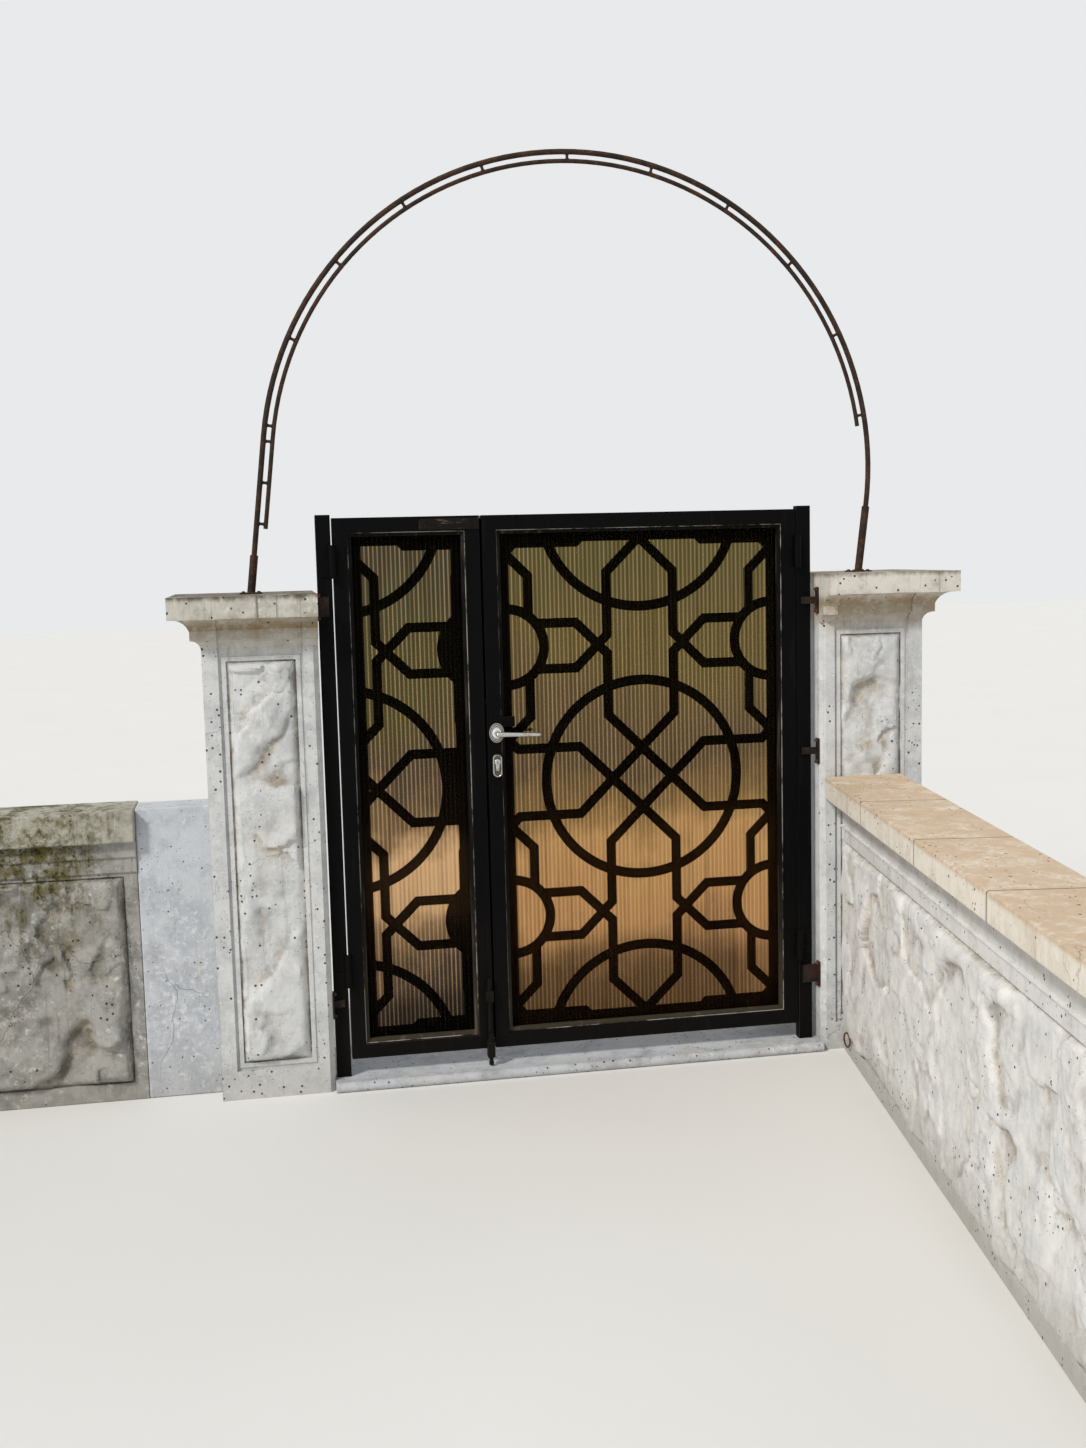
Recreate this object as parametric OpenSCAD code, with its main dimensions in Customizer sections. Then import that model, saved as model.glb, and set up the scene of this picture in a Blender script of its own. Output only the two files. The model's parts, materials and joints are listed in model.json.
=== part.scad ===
// Two-leaf steel garden gate between precast concrete piers, with low
// walls and a round tube arch on the pier caps.
// X runs along the gate, Y goes out to the street, Z is up, millimetres.
// The origin lies under the middle of the two leaves, at paving level, in
// the plane of their garden faces.

/* [Leaves] */
// height of each leaf
leaf_h = 1500; // [1300:10:1700]
// height of the leaves' lower edge over the paving
leaf_lift = 77; // [70:1:100]
// width of the walking leaf, on the right
active_w = 900; // [850:10:1000]
// width of the fixed leaf, on the left
slave_w = 400; // [380:5:450]
// gap between the two leaves
meeting_gap = 6; // [6:1:10]
// side of the square frame tube
tube_w = 40; // [36:1:46]
// wall of the frame tube
tube_wall = 2; // [1.5:0.5:3]
// width of the glazing bead
bead_w = 11; // [8:1:14]
// depth of the bead behind the frame's garden face
bead_set = 10; // [6:1:12]
// depth of the ribbed sheet behind the frame's garden face
sheet_set = 28; // [26:1:29]
// thickness of the ribbed sheet without its ribs
sheet_t = 6; // [4:0.5:6]
// distance between two ribs of the sheet
rib_pitch = 12; // [10:1:16]
// thickness of the lattice plate
lattice_t = 3; // [2:0.5:4]
// width of the lattice plate's border, from the frame tube inwards
border_w = 37; // [30:1:45]

/* [Lattice pattern] */
// half of the pattern's period
half_period = 384; // [370:2:400]
// width of the straight bars
bar_w = 27; // [22:1:30]
// width of the ring bands
ring_w = 28; // [22:1:30]
// middle radius of the large rings
big_ring_r = 279.5; // [270:0.5:290]
// middle radius of the small rings
small_ring_r = 106.4; // [100:0.2:112]
// distance of the long strands from the ring's centre lines
strand_off = 96; // [90:1:102]
// distance of the pattern's centre line from the fixed leaf's sight edge
slave_phase = 63.4; // [50:0.2:70]

/* [Posts and hinges] */
// gap between a leaf and its post
hinge_gap = 4; // [3:0.5:6]
// width of a post
post_w = 40; // [34:1:50]
// depth of a post
post_d = 30; // [28:1:40]
// height of a post's top over the leaves
post_rise = 6; // [4:1:20]
// thickness of a post's cap plate
post_cap_t = 3; // [2:0.5:5]
// gap between the left post and its pier
left_pier_gap = 5; // [5:1:20]
// gap between the right post and its pier
right_pier_gap = 17; // [5:1:30]
// outer radius of a hinge barrel
barrel_r = 10; // [9:0.5:11]
// radius of a hinge pin
hinge_pin_r = 5; // [4:0.5:6]
// length of a whole hinge barrel
barrel_h = 90; // [80:2:120]
// distance of the hinge axis in front of the leaves
hinge_out = 12; // [12:0.5:14]
// thickness of a hinge strap
strap_t = 3; // [2:0.5:4]
// length of a hinge strap along the leaf
strap_l = 34; // [26:1:38]
// height of the upper hinges' middle on the left post
left_upper_hinge_z = 1460; // [1380:2:1470]
// height of the upper hinges' middle on the right post
right_upper_hinge_z = 1458; // [1380:2:1470]
// height of the lower hinges' middle on the left post
left_lower_hinge_z = 332; // [300:2:420]
// height of the lower hinges' middle on the right post
right_lower_hinge_z = 314; // [300:2:420]

/* [Lock] */
// height of the lever's axis
lever_z = 977; // [900:1:1050]
// distance of the lever's axis from the meeting edge
backset = 26; // [20:1:30]
// distance between the lever's axis and the cylinder
lock_centres = 92; // [72:1:92]
// length of the lever's grip from its axis
grip_l = 118; // [100:1:125]
// height of the grip at the neck
grip_h = 14.5; // [12:0.5:16]
// height of the grip at its tip
grip_tip_h = 10.6; // [8:0.2:12]
// thickness of the grip
grip_t = 11; // [8:0.5:12]
// droop of the grip
grip_droop = 2.5; // [0:0.5:5]
// distance of the grip's middle from the leaf's face
grip_out = 48; // [40:1:55]
// radius of the lever's neck
neck_r = 8; // [7:0.5:9]
// side of the square spindle
spindle_w = 8; // [7:0.5:9]
// height of the lock's faceplate
faceplate_h = 240; // [200:5:260]
// width of a lock plate let into a meeting stile
faceplate_w = 22; // [20:1:24]
// width of a lever's rose
rose_w = 42; // [38:1:46]
// height of a lever's rose
rose_h = 55; // [50:1:60]
// width of a cylinder's escutcheon
key_w = 28; // [26:1:32]
// height of a cylinder's escutcheon
key_h = 67; // [60:1:70]

/* [Bolts] */
// radius of the drop bolt
bolt_r = 7; // [6:0.5:8]
// height of the drop bolt's tip
bolt_tip_z = 33; // [33:1:40]
// length of the drop bolt
bolt_l = 250; // [220:5:300]
// travel of the drop bolt
bolt_travel = 45; // [35:1:50]
// length of the plate on the top rail
top_plate_l = 167; // [120:1:200]
// height of the plate on the top rail
top_plate_h = 31; // [24:1:36]

/* [Piers] */
// side of a pier
pier_w = 308; // [300:2:360]
// height of the leaves' top over the right pier's cap
cap_drop = 184; // [150:2:260]
// how much lower the left pier stands
left_pier_drop = 15; // [0:1:30]
// distance of a pier's front behind the leaves' garden face (negative is in front)
pier_front = -35; // [-60:1:-30]
// overhang of a cap's slab
cap_over = 80; // [50:1:90]
// overhang of the fascia under the cap
fascia_over = 27; // [20:1:35]
// height of the cap's cavetto
cavetto_h = 32; // [24:1:40]
// height of the cap's slab
slab_h = 58; // [50:1:70]
// height of the fascia
fascia_h = 25; // [20:1:30]
// width of the strip at a pier's edges
strip_w = 42; // [38:1:50]
// step from the strips back to the middle of a face
strip_step = 7; // [4:1:9]
// width of the groove beside the strip
groove_w = 8; // [6:1:12]
// width of the border between the groove and the sunk panel
second_strip = 12; // [8:1:16]
// depth of a sunk panel behind the face around it
panel_sink = 10; // [8:1:14]
// height of a pier's panel over the paving
panel_low = 80; // [60:5:120]
// height of the small cove under the fascia
small_cove_h = 23; // [18:1:28]
// chamfer of the pier's front corner at the gate
corner_cut = 15; // [5:1:20]

/* [Walls and threshold] */
// length of a wall bay
bay_l = 2000; // [1500:50:2500]
// top of the low walls
wall_top = 810; // [720:2:900]
// thickness of the low walls
wall_t = 120; // [100:5:160]
// overhang of the left wall's coping
left_coping_over = 35; // [20:1:60]
// overhang of the right wall's coping
right_coping_over = 55; // [40:1:70]
// thickness of the left wall's coping
left_coping_t = 86; // [50:1:100]
// thickness of the right wall's coping
right_coping_t = 64; // [50:1:90]
// width of the plain pad beside the left pier
pad_w = 200; // [150:2:220]
// distance of the left wall's front behind the leaves' garden face
left_wall_front = 40; // [20:1:60]
// height of the left wall's upper band
left_band_h = 44; // [30:1:50]
// height of the left wall's lower band
left_step_h = 42; // [30:1:50]
// width of the border round the left wall's panel, at its ends
left_border_w = 37; // [24:1:50]
// width of the border over the left wall's panel
left_border_h = 12; // [8:1:20]
// height of the right wall's frieze under the coping
frieze_h = 78; // [60:1:90]
// height of the fillet under the frieze
wall_fillet_h = 7; // [5:1:10]
// height of the right wall's band over the panel
right_band_h = 36; // [26:1:44]
// height of the walls' plinths
plinth_h = 50; // [40:1:80]
// turn of the right wall from square to the gate, degrees
right_wall_turn = 9.1; // [6:0.1:10]
// distance of the right wall's garden face from the gate side of its pier
right_wall_in = 62; // [60:1:80]
// height of the threshold
sill_h = 28; // [20:1:28]
// distance of the threshold's nose in front of the leaves
sill_nose = 57; // [40:1:70]

/* [Arch] */
// place of the right foot behind the gate side of its pier
right_foot_in = 176; // [150:2:200]
// place of the left foot behind the gate side of its pier
left_foot_in = 172; // [150:2:200]
// place of the arch behind the piers' fronts
arch_in = 155; // [120:5:180]
// lean of the arch to the right, degrees
arch_lean = 7; // [0:0.5:9]
// length of the straight right leg
right_leg_l = 200; // [196:2:300]
// radius of the main rod
main_rod_r = 7.5; // [6:0.5:9]
// radius of the inner rod
inner_rod_r = 6; // [5:0.5:7]
// distance between the centre lines of the two rods
rod_gap = 25; // [22:1:40]
// radius of a rung between the rods
rung_r = 4; // [3:0.5:5]
// number of rungs between the rods' round parts
rung_count = 11; // [7:1:15]
// outer radius of a socket
socket_r = 11; // [10.5:0.5:13]
// height of the right socket
right_socket_h = 192; // [90:2:192]
// height of the left socket
left_socket_h = 106; // [90:2:192]

/* [Iron ring] */
// distance of the ring from the right wall's end at the pier
ring_along = 95; // [80:1:200]
// height of the ring's pin
ring_z = 76; // [70:2:200]
// middle radius of the ring
ring_r = 20; // [18:0.5:24]
// radius of the ring's wire
ring_wire = 2.6; // [2.4:0.1:3]

/* [Hidden] */
$fn = 48;
run_fit = 0.06;
eps = 0.01;
leaves_w = slave_w + meeting_gap + active_w;
x_left = -leaves_w / 2;
x_right = leaves_w / 2;
x_slave = x_left;
x_active = x_right - active_w;
x_seam = x_left + slave_w;
sight_in = tube_w + border_w;
sight_h = leaf_h - 2 * sight_in;
active_sight_w = active_w - 2 * sight_in;
slave_sight_w = slave_w - 2 * sight_in;
mid_z = leaf_lift + leaf_h / 2;
leaf_t = tube_w;
lattice_y = sheet_set + sheet_t;
hinge_x = x_right + hinge_gap / 2;
post_x = x_right + hinge_gap;
post_top = leaf_lift + leaf_h + post_rise;
left_pier_x = -(post_x + post_w + left_pier_gap);
right_pier_x = post_x + post_w + right_pier_gap;
cap_h = cavetto_h + slab_h;
right_cap_top = leaf_lift + leaf_h - cap_drop;
left_cap_top = right_cap_top - left_pier_drop;
arrow_h = half_period / 6;
neck_y = 9;
rose_t = 4;
cyl_z = lever_z - lock_centres;
spindle_x = x_active + backset;
bolt_x = x_seam - tube_w / 4;
bolt_y = -hinge_out;

// shared shapes
// rectangular ring standing in the gate's plane
module upright_ring(x, z, w, h, band, y0, t) {
  translate([x, y0 + t, z]) rotate([90, 0, 0]) linear_extrude(t)
    difference() {
      square([w, h]);
      translate([band, band]) square([w - 2 * band, h - 2 * band]);
    }
}
// flat profile drawn in X and Z, given its thickness along Y from y0
module upright(y0, t) {
  translate([0, y0 + t, 0]) rotate([90, 0, 0]) linear_extrude(t) children();
}
// stadium outline standing up, w wide and h high over all
module stadium(w, h) {
  square([w, h - w], center = true);
  for (s = [-1, 1]) translate([0, s * (h - w) / 2]) circle(w / 2);
}
// moulding under a hollow curve between two small fillets, h high, reaching out by o
fillet_w = 1;
module cove(o, h) {
  d = [o, h] - fillet_w * [1, 1];
  r = 0.75 * norm(d);
  c = sqrt(r * r - pow(norm(d) / 2, 2)) / norm(d);
  difference() {
    translate([-eps, 0]) square([o + eps, h]);
    translate([fillet_w + d.x / 2 + c * d.y, d.y / 2 - c * d.x]) circle(r, $fn = 96);
  }
}

// lattice pattern
arrow_x = half_period - sqrt(pow(small_ring_r, 2) - pow(arrow_h, 2));
node_x = 122.6 * half_period / 384;
node_run = half_period - node_x;
diamond = 86.3 * half_period / 384;
strand = [
  [arrow_x, half_period + arrow_h], [half_period + arrow_h - node_run, half_period + arrow_h],
  [strand_off, strand_off + node_run], [strand_off, strand_off + diamond],
  [-strand_off - diamond, -strand_off], [-strand_off - node_run, -strand_off],
  [-half_period - arrow_h, -half_period - arrow_h + node_run],
  [-half_period - arrow_h, -arrow_x]];
function quarter(p, k) = k == 0 ? p : k == 1 ? [-p.y, p.x] : k == 2 ? -p : [p.y, -p.x];
function reaches(a, b, lo, hi) =
  max(a.x, b.x) + bar_w > lo.x && min(a.x, b.x) - bar_w < hi.x &&
  max(a.y, b.y) + bar_w > lo.y && min(a.y, b.y) - bar_w < hi.y;
function unit(v) = v / norm(v);
// one edge of a strand: its points set off to side s, mitred at the bends
function strand_edge(pts, s) = [
  for (i = [0 : len(pts) - 1])
    let (a = unit(i > 0 ? pts[i] - pts[i - 1] : pts[1] - pts[0]),
         b = i < len(pts) - 1 ? unit(pts[i + 1] - pts[i]) : a,
         m = a + b)
      pts[i] + s * bar_w * [-m.y, m.x] / (m * m)];
module strand_bar(pts) {
  back = strand_edge(pts, -1);
  polygon(concat(strand_edge(pts, 1), [for (i = [len(back) - 1 : -1 : 0]) back[i]]));
}
module band(r) {
  difference() {
    circle(r + ring_w / 2, $fn = 120);
    circle(r - ring_w / 2, $fn = 120);
  }
}
// endless net of rings and strands, drawn where it reaches the window lo to hi
module net(lo, hi) {
  for (i = [-1:1], j = [-1:1]) {
    at = 2 * half_period * [i, j];
    for (k = [0:3]) {
      pts = [for (p = strand) at + quarter(p, k)];
      if (reaches(pts[0], pts[len(pts) - 1], lo, hi)) strand_bar(pts);
    }
    if (reaches(at - big_ring_r * [1, 1], at + big_ring_r * [1, 1], lo, hi))
      translate(at) band(big_ring_r);
  }
  for (i = [-1, 1], j = [-1, 1])
    if (reaches(half_period * [i, j] - small_ring_r * [1, 1],
        half_period * [i, j] + small_ring_r * [1, 1], lo, hi))
      translate(half_period * [i, j]) band(small_ring_r);
}
// lattice plate: border and the net behind the sight opening of width w;
// px is the pattern's x at the opening's left edge
module lattice_plate(w, px) {
  lo = [px, -sight_h / 2];
  hi = [px + w, sight_h / 2];
  tuck = border_w / 4;
  difference() {
    translate(lo - border_w * [1, 1]) square([w, sight_h] + 2 * border_w * [1, 1]);
    translate(lo) square([w, sight_h]);
  }
  intersection() {
    translate(lo - tuck * [1, 1]) square([w, sight_h] + 2 * tuck * [1, 1]);
    union() {
      net(lo, hi);
      children();
    }
  }
}

// leaves
module leaf_frame(x, w) {
  difference() {
    upright_ring(x, leaf_lift, w, leaf_h, tube_w, 0, leaf_t);
    upright_ring(x + tube_wall, leaf_lift + tube_wall, w - 2 * tube_wall,
      leaf_h - 2 * tube_wall, tube_w - 2 * tube_wall, tube_wall, leaf_t - 2 * tube_wall);
  }
}
module leaf_bead(x, w) {
  upright_ring(x + tube_w, leaf_lift + tube_w, w - 2 * tube_w, leaf_h - 2 * tube_w,
    bead_w, bead_set, sheet_set - rib_h - bead_set);
}
// clear sheet with a row of upright ribs on its garden face
rib_w = 2.2;
rib_h = 0.9;
sheet_play = 2;
module leaf_sheet(x, w) {
  sw = w - 2 * (tube_w + sheet_play);
  count = floor((sw - 2 * bead_w) / rib_pitch);
  first = (sw - (count - 1) * rib_pitch) / 2;
  translate([x + tube_w + sheet_play, sheet_set, leaf_lift + tube_w + sheet_play])
    linear_extrude(leaf_h - 2 * (tube_w + sheet_play)) {
      square([sw, sheet_t]);
      for (i = [0:count - 1]) translate([first + i * rib_pitch - rib_w / 2, -rib_h])
        square([rib_w, rib_h + eps]);
    }
}
module left_leaf_frame() {
  color("#18191b") difference() {
    leaf_frame(x_slave, slave_w);
    faceplate_block(x_seam - faceplate_t, faceplate_w);
  }
}
module right_leaf_frame() {
  color("#18191b") difference() {
    leaf_frame(x_active, active_w);
    faceplate_block(x_active - eps, faceplate_w);
    translate([spindle_x, -1, lever_z]) rotate([-90, 0, 0]) cylinder(h = leaf_t + 2, r = bore_r);
    translate([spindle_x, -1, cyl_z]) rotate([-90, 0, 0]) cylinder(h = leaf_t + 2, r = bore_r);
  }
}
bore_r = 7;
faceplate_t = 2;
faceplate_mid = (lever_z + cyl_z) / 2 + 20;
module faceplate_block(x, w) {
  translate([x, (leaf_t - w) / 2, faceplate_mid - faceplate_h / 2])
    cube([faceplate_t + eps, w, faceplate_h]);
}
module edge_plate(x) {
  translate([x, (leaf_t - faceplate_w) / 2, faceplate_mid - faceplate_h / 2])
    cube([faceplate_t, faceplate_w, faceplate_h]);
}
module left_leaf_bead() color("#3a3b3c") leaf_bead(x_slave, slave_w);
module right_leaf_bead() color("#3a3b3c") leaf_bead(x_active, active_w);
module left_leaf_sheet() color("#8a7350") leaf_sheet(x_slave, slave_w);
module right_leaf_sheet() color("#8a7350") leaf_sheet(x_active, active_w);
module left_leaf_lattice() {
  color("#151515") translate([x_slave + sight_in - slave_phase, 0, mid_z])
    upright(lattice_y, lattice_t) lattice_plate(slave_sight_w, slave_phase) {
      for (s = [-1, 1]) translate([half_period, s * half_period]) circle(small_ring_r, $fn = 96);
      difference() {
        translate([big_ring_r - ring_w / 2, -strand_off])
          square([slave_sight_w + slave_phase - big_ring_r + ring_w, 2 * strand_off]);
        circle(big_ring_r, $fn = 120);
      }
    }
}
module right_leaf_lattice() {
  color("#151515") translate([x_active + active_w / 2, 0, mid_z])
    upright(lattice_y, lattice_t) lattice_plate(active_sight_w, -active_sight_w / 2);
}

// hinges: the lower half barrel and its pin stay on the post, the upper
// half turns with the leaf; side is -1 for the left post, 1 for the right
barrel_split = 1;
half_h = (barrel_h - barrel_split) / 2;
strap_h = half_h - 8;
pin_up = half_h - 6;
// half barrel with its strap; out is the strap's direction along X
module half_barrel(side, z, out, bored) {
  edge = hinge_gap / 2;
  difference() {
    union() {
      translate([side * hinge_x, -hinge_out, z]) cylinder(h = half_h, r = barrel_r);
      translate([side * hinge_x + (out > 0 ? edge : -strap_l), -strap_t, z + (half_h - strap_h) / 2])
        cube([strap_l - edge, strap_t, strap_h]);
    }
    if (bored) translate([side * hinge_x, -hinge_out, z - 1])
      cylinder(h = half_h + 2, r = hinge_pin_r + run_fit);
  }
}
module hinge_set(side, heights, on_leaf) {
  for (z = heights)
    if (on_leaf) half_barrel(side, z + barrel_split / 2, -side, true);
    else {
      half_barrel(side, z - barrel_split / 2 - half_h, side, false);
      translate([side * hinge_x, -hinge_out, z - barrel_split])
        cylinder(h = pin_up + barrel_split, r = hinge_pin_r);
    }
}
left_hinges = [left_lower_hinge_z, left_upper_hinge_z];
right_hinges = [right_lower_hinge_z, right_upper_hinge_z];
module left_leaf_knuckles() color("#1c1d1f") hinge_set(-1, left_hinges, true);
module right_leaf_knuckles() color("#1c1d1f") hinge_set(1, right_hinges, true);
module post_hinge_pins() {
  color("#1c1d1f") {
    hinge_set(-1, left_hinges, false);
    hinge_set(1, right_hinges, false);
  }
}

// furniture of the fixed leaf
plate_t = 3;
plate_round = 10;
module top_rail_plate() {
  z = leaf_lift + leaf_h - tube_w + 3;
  color("#3a3a3a") upright(-plate_t, plate_t) difference() {
    translate([x_seam - top_plate_l, z]) square([top_plate_l, top_plate_h]);
    translate([x_seam - top_plate_l, z + top_plate_h]) difference() {
      square(2 * plate_round, center = true);
      translate([plate_round, -plate_round]) circle(plate_round);
    }
  }
}
guide_w = 21;
guide_low = [leaf_lift - 21, 43];
collar_r = 9.5;
collar_h = 8;
collar_z = guide_low[0] + guide_low[1] + 0.5;
knob_r = 5;
knob_l = 24;
knob_z = collar_z + collar_h + knob_r + 14;
// room left between the raised knob and the upper guide
knob_room = 40.5;
guide_high = [knob_z + knob_r + bolt_travel + knob_room, 30];
module drop_bolt_guides() {
  color("#1c1d1f") difference() {
    for (g = [guide_low, guide_high])
      translate([bolt_x - guide_w / 2, bolt_y - guide_w / 2, g[0]])
        cube([guide_w, -bolt_y + guide_w / 2, g[1]]);
    translate([bolt_x, bolt_y, 0]) cylinder(h = leaf_lift + leaf_h / 2, r = bolt_r + run_fit);
  }
}
module drop_bolt() {
  color("#232323") translate([bolt_x, bolt_y, 0]) {
    difference() {
      translate([0, 0, bolt_tip_z]) cylinder(h = bolt_l, r = bolt_r);
      translate([0, 0, bolt_tip_z + 14]) rotate_extrude()
        translate([bolt_r + 3, 0]) circle(5, $fn = 32);
    }
    translate([0, 0, collar_z]) cylinder(h = collar_h, r = collar_r);
    translate([0, 0, knob_z]) rotate([90, 0, 0])
      cylinder(h = knob_l, r = knob_r);
  }
}
module strike_plate() color("#6d6e70") edge_plate(x_seam - faceplate_t);

// lock furniture of the walking leaf
module lock_faceplate() color("#6d6e70") edge_plate(x_active);
rose_neck_r = 13;
module rose() {
  difference() {
    union() {
      upright(-rose_t, rose_t) stadium(rose_w, rose_h);
      rotate([90, 0, 0]) cylinder(h = neck_y, r = rose_neck_r);
    }
    rotate([90, 0, 0]) translate([0, 0, -1]) cylinder(h = neck_y + 2, r = neck_r + run_fit);
  }
}
module both_faces(z) {
  for (m = [0, 1]) translate([spindle_x, m * leaf_t, z]) mirror([0, m, 0]) children();
}
module handle_roses() color("#b5b6b4") both_faces(lever_z) rose();
key_t = 6;
rim_w = 4;
rim_t = 2;
module escutcheon() {
  upright(-key_t, key_t) stadium(key_w, key_h);
  upright(-key_t - rim_t, rim_t + 1) difference() {
    stadium(key_w - 2 * rim_w, key_h - 2 * rim_w);
    stadium(key_w - 4 * rim_w, key_h - 4 * rim_w);
  }
}
module cylinder_escutcheons() color("#b5b6b4") both_faces(cyl_z) escutcheon();
module grip() {
  translate([0, grip_t / 2, 0]) rotate([90, 0, 0]) linear_extrude(grip_t) rotate(-grip_droop) {
    polygon([[0, -grip_h / 2], [grip_l - grip_tip_h / 2, -grip_tip_h / 2],
      [grip_l - grip_tip_h / 2, grip_tip_h / 2], [0, grip_h / 2]]);
    circle(grip_h / 2);
    translate([grip_l - grip_tip_h / 2, 0]) circle(grip_tip_h / 2);
  }
}
module lever_handles() {
  color("#c4c5c3") {
    both_faces(lever_z) {
      translate([0, -grip_out, 0]) grip();
      rotate([90, 0, 0]) translate([0, 0, 1]) cylinder(h = grip_out - 1, r = neck_r);
    }
    translate([spindle_x - spindle_w / 2, -neck_y, lever_z - spindle_w / 2])
      cube([spindle_w, leaf_t + 2 * neck_y, spindle_w]);
  }
}
// small block beside the lock stile, just over the lever
block_w = 39;
block_h = 28;
module stile_block() {
  color("#141414") translate([x_active + tube_w, 0, lever_z + 16]) cube([block_w, bead_set, block_h]);
}

// posts
module gate_post(side) {
  x = side * (post_x + post_w / 2) - post_w / 2;
  difference() {
    translate([x, 0, sill_h]) cube([post_w, post_d, post_top - sill_h]);
    translate([x + tube_wall, tube_wall, sill_h - 1])
      cube([post_w - 2 * tube_wall, post_d - 2 * tube_wall, post_top - sill_h + 2]);
  }
}
module left_gate_post() color("#18191b") gate_post(-1);
module right_gate_post() color("#18191b") gate_post(1);
module post_caps() {
  color("#18191b") for (side = [-1, 1])
    translate([side * (post_x + post_w / 2) - post_w / 2, 0, post_top])
      cube([post_w, post_d, post_cap_t]);
}
lug_t = 6;
lug_h = 20;
anchor_t = 4;
anchor_w = 24;
anchor_h = 74;
// flat bar on the post's front that runs to an anchor plate on the pier's side
module lug(side, face, z, h) {
  inner = post_x + 11;
  reach = abs(face) - inner;
  translate([side > 0 ? inner : -inner - reach, -lug_t, z - h / 2]) cube([reach, lug_t, h]);
  translate([side > 0 ? face - anchor_t : face, -anchor_w, z - anchor_h / 2])
    cube([anchor_t, anchor_w, anchor_h]);
}
left_lugs = [[240, lug_h], [1340, 54]];
right_lugs = [[225, 54], [884, lug_h], [1318, lug_h]];
module left_post_lugs() color("#1c1d1f") for (l = left_lugs) lug(-1, left_pier_x, l[0], l[1]);
module right_post_lugs() color("#1c1d1f") for (l = right_lugs) lug(1, right_pier_x, l[0], l[1]);

// piers, drawn with the gate side at x = 0 and the front at y = 0; top is the
// height of the cap's top
module at_pier(side) {
  if (side > 0) translate([right_pier_x, pier_front, 0]) children();
  else mirror([1, 0, 0]) translate([-left_pier_x, pier_front, 0]) children();
}
module front_and_back() {
  for (m = [0, 1]) translate([0, m * pier_w, 0]) mirror([0, m, 0]) children();
}
// moulded block of height h: the section seen along the gate crossed with the
// one seen from its end, so that the mouldings mitre; the child is the profile
// that stands out from a face. It steps back over the middle of front and back
// where broken
field_w = pier_w - 2 * strip_w;
module mitred(z, h, broken) {
  reach = pier_w + 3 * cap_over;
  difference() {
    intersection() {
      translate([-cap_over, 0, z]) rotate([90, 0, 90]) linear_extrude(reach) {
        square([pier_w, h]);
        translate([pier_w, 0]) children();
        mirror([1, 0]) children();
      }
      translate([0, reach - cap_over, z]) rotate([90, 0, 0]) linear_extrude(reach) {
        square([pier_w, h]);
        translate([pier_w, 0]) children();
      }
    }
    if (broken) front_and_back() translate([strip_w, -cap_over - 1, z - 1])
      cube([field_w, cap_over + 1 + strip_step, h + 2]);
  }
  if (broken) front_and_back() translate([strip_w, strip_step, z])
    rotate([90, 0, 90]) linear_extrude(field_w) {
      square([pier_w / 3, h]);
      mirror([1, 0]) children();
    }
}
module shaft_profile() {
  translate([-eps, small_cove_h]) square([fascia_over + eps, fascia_h]);
  cove(fascia_over, small_cove_h);
}
module cavetto_profile() {
  translate([-eps, 0]) square([fascia_over + eps, cavetto_h]);
  translate([fascia_over, 0]) cove(cap_over - fascia_over, cavetto_h);
}
// step, groove and sunk panel between the strips of a face; flat is the height
// at which the mouldings start
panel_drop = 16;
groove_sink = 3;
module panel_cut(flat) {
  translate([strip_w, -1, panel_low]) cube([field_w, strip_step + 1, flat - panel_low + eps]);
  h = flat - panel_drop - panel_low;
  translate([strip_w, strip_step, panel_low]) upright(-1, groove_sink + 1) difference() {
    square([field_w, h]);
    translate([groove_w, groove_w]) square([field_w - 2 * groove_w, h - 2 * groove_w]);
  }
  in = groove_w + second_strip;
  translate([strip_w + in, -1, panel_low + in])
    cube([field_w - 2 * in, strip_step + panel_sink + 1, h - 2 * in]);
}
module pier_shaft(top) {
  flat = top - cap_h - fascia_h - small_cove_h;
  difference() {
    cube([pier_w, pier_w, flat]);
    front_and_back() panel_cut(flat);
    front_and_back() translate([0, 0, -1]) rotate(45)
      translate([-corner_cut, -corner_cut, 0] / sqrt(2))
        cube([corner_cut * sqrt(2), corner_cut * sqrt(2), flat + 2]);
  }
  mitred(flat, small_cove_h + fascia_h, true) shaft_profile();
}
module pier_cap(top) {
  mitred(top - cap_h, cavetto_h, true) cavetto_profile();
  mitred(top - slab_h, slab_h, false) translate([-eps, 0]) square([cap_over + eps, slab_h]);
}
module left_pier_shaft() color("#cbc8bf") at_pier(-1) pier_shaft(left_cap_top);
module right_pier_shaft() color("#cbc8bf") at_pier(1) pier_shaft(right_cap_top);
module left_pier_cap() color("#cfc8b8") at_pier(-1) pier_cap(left_cap_top);
module right_pier_cap() color("#cfc8b8") at_pier(1) pier_cap(right_cap_top);

// low walls, drawn along +x from the pier with the garden face at y = 0; bands
// are the height and the overhang of each band from the coping down
function heights(v, n) = n < 0 ? 0 : v[n][0] + heights(v, n - 1);
module wall_body(from, to, top, bands, border_side, border_top) {
  last = len(bands) - 1;
  panel_top = top - heights(bands, last) - border_top;
  difference() {
    union() {
      translate([from, 0, 0]) cube([to - from, wall_t, top]);
      for (i = [0 : last]) translate([from, -bands[i][1], top - heights(bands, i)])
        cube([to - from, wall_t + 2 * bands[i][1], bands[i][0]]);
    }
    for (y = [-1, wall_t - panel_sink])
      translate([from + border_side, y, plinth_h])
        cube([to - from - border_side - left_border_w, panel_sink + 1, panel_top - plinth_h]);
  }
}
module wall_coping(from, to, coping_t, over) {
  translate([from, -over, wall_top - coping_t]) cube([to - from, wall_t + 2 * over, coping_t]);
}
module at_left_wall() {
  mirror([1, 0, 0]) translate([pier_w - left_pier_x, left_wall_front, 0]) children();
}
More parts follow.
